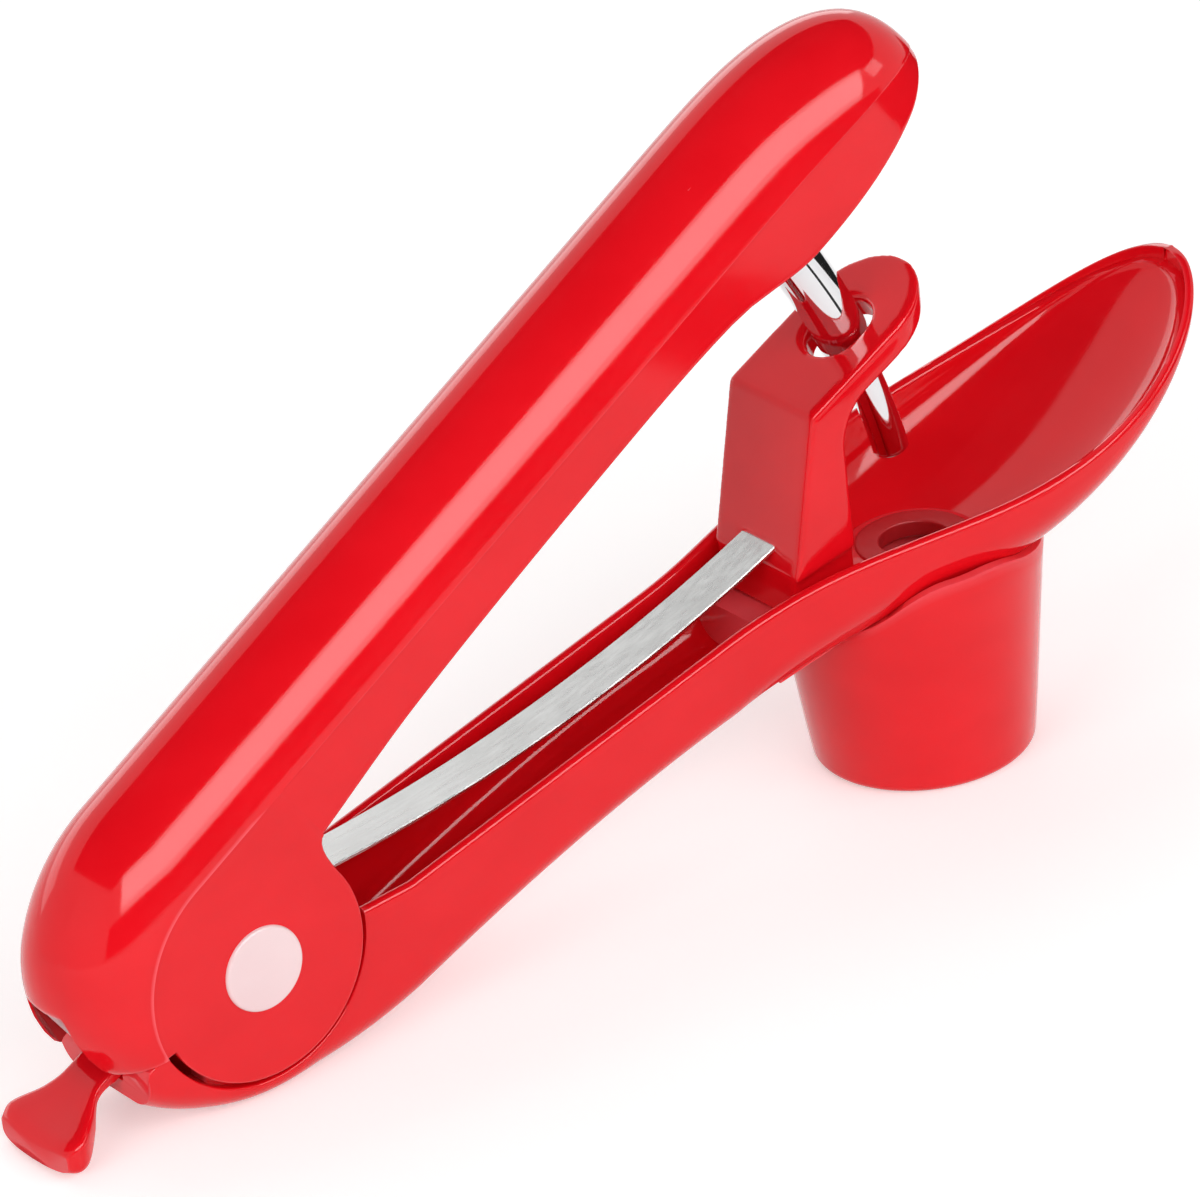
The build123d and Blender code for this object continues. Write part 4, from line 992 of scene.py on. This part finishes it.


# Each plastic's third colour is the paler tone of its painted edge highlight
materials = {
    "red_plastic": plastic("red_moulded_plastic", (0.82, 0.006, 0.013), (0.76, 0.004, 0.010),
                           (0.95, 0.16, 0.19), 0.06, 0.11, shine=0.32, edge_highlight_strength=0.5),
    "pale_plastic": plastic("pale_cap_plastic", (0.90, 0.70, 0.71), (0.86, 0.64, 0.65),
                            (0.94, 0.82, 0.82), 0.14, 0.22),
    "bright_chrome": metal("bright_chrome", (0.76, 0.76, 0.77), (0.72, 0.72, 0.74),
                           0.03, 0.07, (1, 1, 1), 0.01),
    "spring_steel": metal("strip_steel", (0.74, 0.74, 0.73), (0.68, 0.68, 0.67),
                          0.18, 0.30, (0.04, 1, 1), 0.12),
    "plain_steel": metal("turned_steel", (0.62, 0.62, 0.63), (0.55, 0.55, 0.56),
                         0.2, 0.32, (1, 0.1, 1), 0.1),
    "bearing_plastic": plastic("bearing_plastic", (0.80, 0.79, 0.75), (0.74, 0.73, 0.70),
                               (0.86, 0.85, 0.82), 0.38, 0.5),
    "soft_ring": plastic("soft_silicone", (0.55, 0.012, 0.018), (0.48, 0.010, 0.015),
                         (0.62, 0.05, 0.05), 0.36, 0.48),
}


def dress(piece, slot, body, *nodes):
    """Gives a new piece its material and its body, and hides the CAD nodes that it stands for."""
    piece.data.materials.clear()
    piece.data.materials.append(materials[slot])
    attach(piece, body)
    if nodes:
        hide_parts(*nodes)


dress(upper_handle_shell(), "red_plastic", "press", "upper_handle")
shell_piece, shell_parts = lower_handle_shell()
dress(shell_piece, "red_plastic", "base", "lower_handle")
dress(shell_parts, "red_plastic", "base")
shank = rod("plunger_shank_rod", SHANK_RADIUS, ROD_STEP_ANGLE, ROD_HIGH_ANGLE)
dress(shank, "bright_chrome", "press", "plunger_shank")
push_tip = rod("plunger_tip_rod", TIP_RADIUS, ROD_LOW_ANGLE, ROD_STEP_ANGLE)
dress(push_tip, "bright_chrome", "press", "plunger_tip")
dress(chute_shell(), "red_plastic", "base", "pit_chute")
dress(lock_slider_shell(), "red_plastic", "lock", "lock_slider")
strip = spring_strip()
strip.data.materials.append(materials["spring_steel"])
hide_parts("leaf_spring")
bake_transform(strip)

# Moulded CAD pieces: softened edges from a fine remesh, with its cell in metres and the rounds of smoothing
SOFTENED = (
    ("guide_bracket", 0.00024, 60),
    ("near_pivot_cap", 0.00014, 5),
    ("far_pivot_cap", 0.00014, 5),
    ("seat_ring", 0.00016, 6),
    ("chute_ring", 0.0002, 5),
)
for name, cell, rounds in SOFTENED:
    node = frame["nodes"][name]
    remesh = node.modifiers.new("skin", "REMESH")
    remesh.mode = "VOXEL"
    remesh.voxel_size = cell
    remesh.use_smooth_shade = True
    soften = node.modifiers.new("soften", "SMOOTH")
    soften.factor = 0.5
    soften.iterations = rounds

for entry in frame["record"]["subparts"]:
    node = frame["nodes"][entry["node"]]
    finish = materials[entry["material_slot"]]
    if not node.material_slots:
        node.data.materials.append(finish)
    for holder in node.material_slots:
        holder.material = finish

# Camera, from far off
AZIMUTH = math.radians(-34.0)
ELEVATION = math.radians(28.0)
ROLL = math.radians(-7.0)
DISTANCE = 1.2
FRAME_WIDTH = 0.1511
FRAME_RIGHT = 0.0421
FRAME_UP = 0.0467
NEAR_CHEEK = -11.6
SENSOR_WIDTH = 36.0
toward = Vector((math.sin(AZIMUTH) * math.cos(ELEVATION), -math.cos(AZIMUTH) * math.cos(ELEVATION),
                 math.sin(ELEVATION)))
level_right = Vector((math.cos(AZIMUTH), math.sin(AZIMUTH), 0.0))
level_up = toward.cross(level_right)
right = level_right * math.cos(ROLL) + level_up * math.sin(ROLL)
up = level_up * math.cos(ROLL) - level_right * math.sin(ROLL)
target = place(0.0, NEAR_CHEEK, 0.0) + right * FRAME_RIGHT + up * FRAME_UP
camera_data = bpy.data.cameras.new("camera")
camera_data.sensor_width = SENSOR_WIDTH
camera_data.lens = SENSOR_WIDTH * DISTANCE / FRAME_WIDTH
camera_data.clip_end = 10.0
camera = bpy.data.objects.new("camera", camera_data)
bpy.context.scene.collection.objects.link(camera)
turned = Matrix((right, up, toward)).transposed().to_4x4()
camera.matrix_world = Matrix.Translation(target + toward * DISTANCE) @ turned
bpy.context.scene.camera = camera

# Floor, lamps and world
FLOOR_SIZE = 6.0
FLOOR_DROP = 0.0001
LAMP_AIM = (-0.04, 0.0, 0.05)
WORLD_LIGHT = 0.30
FLOOR_GLOW = 0.4


def flat_sheet(name, width, depth):
    """Level rectangle about its own middle."""
    mesh = bpy.data.meshes.new(name)
    corners = [(-width / 2, -depth / 2, 0), (width / 2, -depth / 2, 0), (width / 2, depth / 2, 0),
               (-width / 2, depth / 2, 0)]
    mesh.from_pydata(corners, [], [(0, 1, 2, 3)])
    sheet = bpy.data.objects.new(name, mesh)
    bpy.context.scene.collection.objects.link(sheet)
    return sheet


floor = flat_sheet("floor", FLOOR_SIZE, FLOOR_SIZE)
floor.location.z = -FLOOR_DROP
floor_material, floor_nodes, floor_links, floor_shader = new_material("pale_floor")
floor_shader.inputs["Base Color"].default_value = (0.86, 0.855, 0.85, 1)
floor_shader.inputs["Roughness"].default_value = 0.6
floor_shader.inputs["Specular IOR Level"].default_value = 0.1
floor_shader.inputs["Emission Color"].default_value = (1, 1, 1, 1)
floor.data.materials.append(floor_material)


def lamp(name, size, size_y, power, position):
    """Rectangular soft box turned to the middle of the object."""
    data = bpy.data.lights.new(name, "AREA")
    data.shape = "RECTANGLE"
    data.size = size
    data.size_y = size_y
    data.energy = power
    light = bpy.data.objects.new(name, data)
    bpy.context.scene.collection.objects.link(light)
    light.location = position
    light.rotation_euler = (Vector(LAMP_AIM) - Vector(position)).to_track_quat("-Z", "Y").to_euler()
    return light


lamp("back_box", 2.6, 0.45, 5.2, (0.1, 1.5, 0.36))
lamp("top_fill", 1.2, 0.8, 2.8, (0.1, 0.7, 1.1)).visible_glossy = False
lamp("front_box", 1.7, 0.44, 6.4, (-0.05, -1.0, 0.74))
lamp("front_shine", 1.7, 0.62, 14.0, (-0.05, -0.99, 0.72)).visible_diffuse = False
lamp("nose_box", 0.3, 0.3, 0.9, (1.0, -0.75, 0.75))
lamp("left_fill", 0.8, 0.5, 5.2, (-1.15, -0.3, 0.5)).visible_glossy = False
lamp("low_fill", 1.8, 0.4, 4.5, (0.35, -1.2, 0.12)).visible_glossy = False


def dark_card(name, width, depth, position, tilt, turn):
    """Black card that only bright metal and gloss pick up."""
    card = flat_sheet(name, width, depth)
    card.location = position
    card.rotation_euler = (math.radians(tilt), 0, math.radians(turn))
    material, _, _, shader = new_material(name)
    shader.inputs["Base Color"].default_value = (0.005, 0.005, 0.005, 1)
    shader.inputs["Roughness"].default_value = 1.0
    card.data.materials.append(material)
    card.visible_camera = False
    card.visible_diffuse = False
    card.visible_shadow = False


dark_card("card_above", 2.4, 1.75, (0.0, 0.02, 0.98), 0, 0)
dark_card("card_front", 2.0, 0.34, (0.0, -0.95, 0.20), 90, 0)
dark_card("card_right", 0.40, 0.11, (0.26, -0.06, 0.06), 90, 80)
dark_card("card_low", 0.03, 0.20, (0.035, -0.20, 0.001), 0, -20)


def backdrop_share(nodes, links, plain, seen):
    """One value for diffuse light, and another where the camera, gloss or clear material looks."""
    path = nodes.new("ShaderNodeLightPath")
    camera_or_gloss = nodes.new("ShaderNodeMath")
    camera_or_gloss.operation = "MAXIMUM"
    links.new(path.outputs["Is Camera Ray"], camera_or_gloss.inputs[0])
    links.new(path.outputs["Is Glossy Ray"], camera_or_gloss.inputs[1])
    looked_at = nodes.new("ShaderNodeMath")
    looked_at.operation = "MAXIMUM"
    links.new(camera_or_gloss.outputs[0], looked_at.inputs[0])
    links.new(path.outputs["Is Transmission Ray"], looked_at.inputs[1])
    level = nodes.new("ShaderNodeMapRange")
    level.inputs["To Min"].default_value = plain
    level.inputs["To Max"].default_value = seen
    links.new(looked_at.outputs[0], level.inputs["Value"])
    return level.outputs["Result"]


world = bpy.data.worlds.new("studio")
bpy.context.scene.world = world
world.use_nodes = True
background = world.node_tree.nodes["Background"]
background.inputs["Color"].default_value = (1, 1, 1, 1)
world_share = backdrop_share(world.node_tree.nodes, world.node_tree.links, WORLD_LIGHT, 1.0)
world.node_tree.links.new(world_share, background.inputs["Strength"])
floor_glow = backdrop_share(floor_nodes, floor_links, 0.0, FLOOR_GLOW)
floor_links.new(floor_glow, floor_shader.inputs["Emission Strength"])

bpy.context.scene.view_settings.view_transform = "Standard"
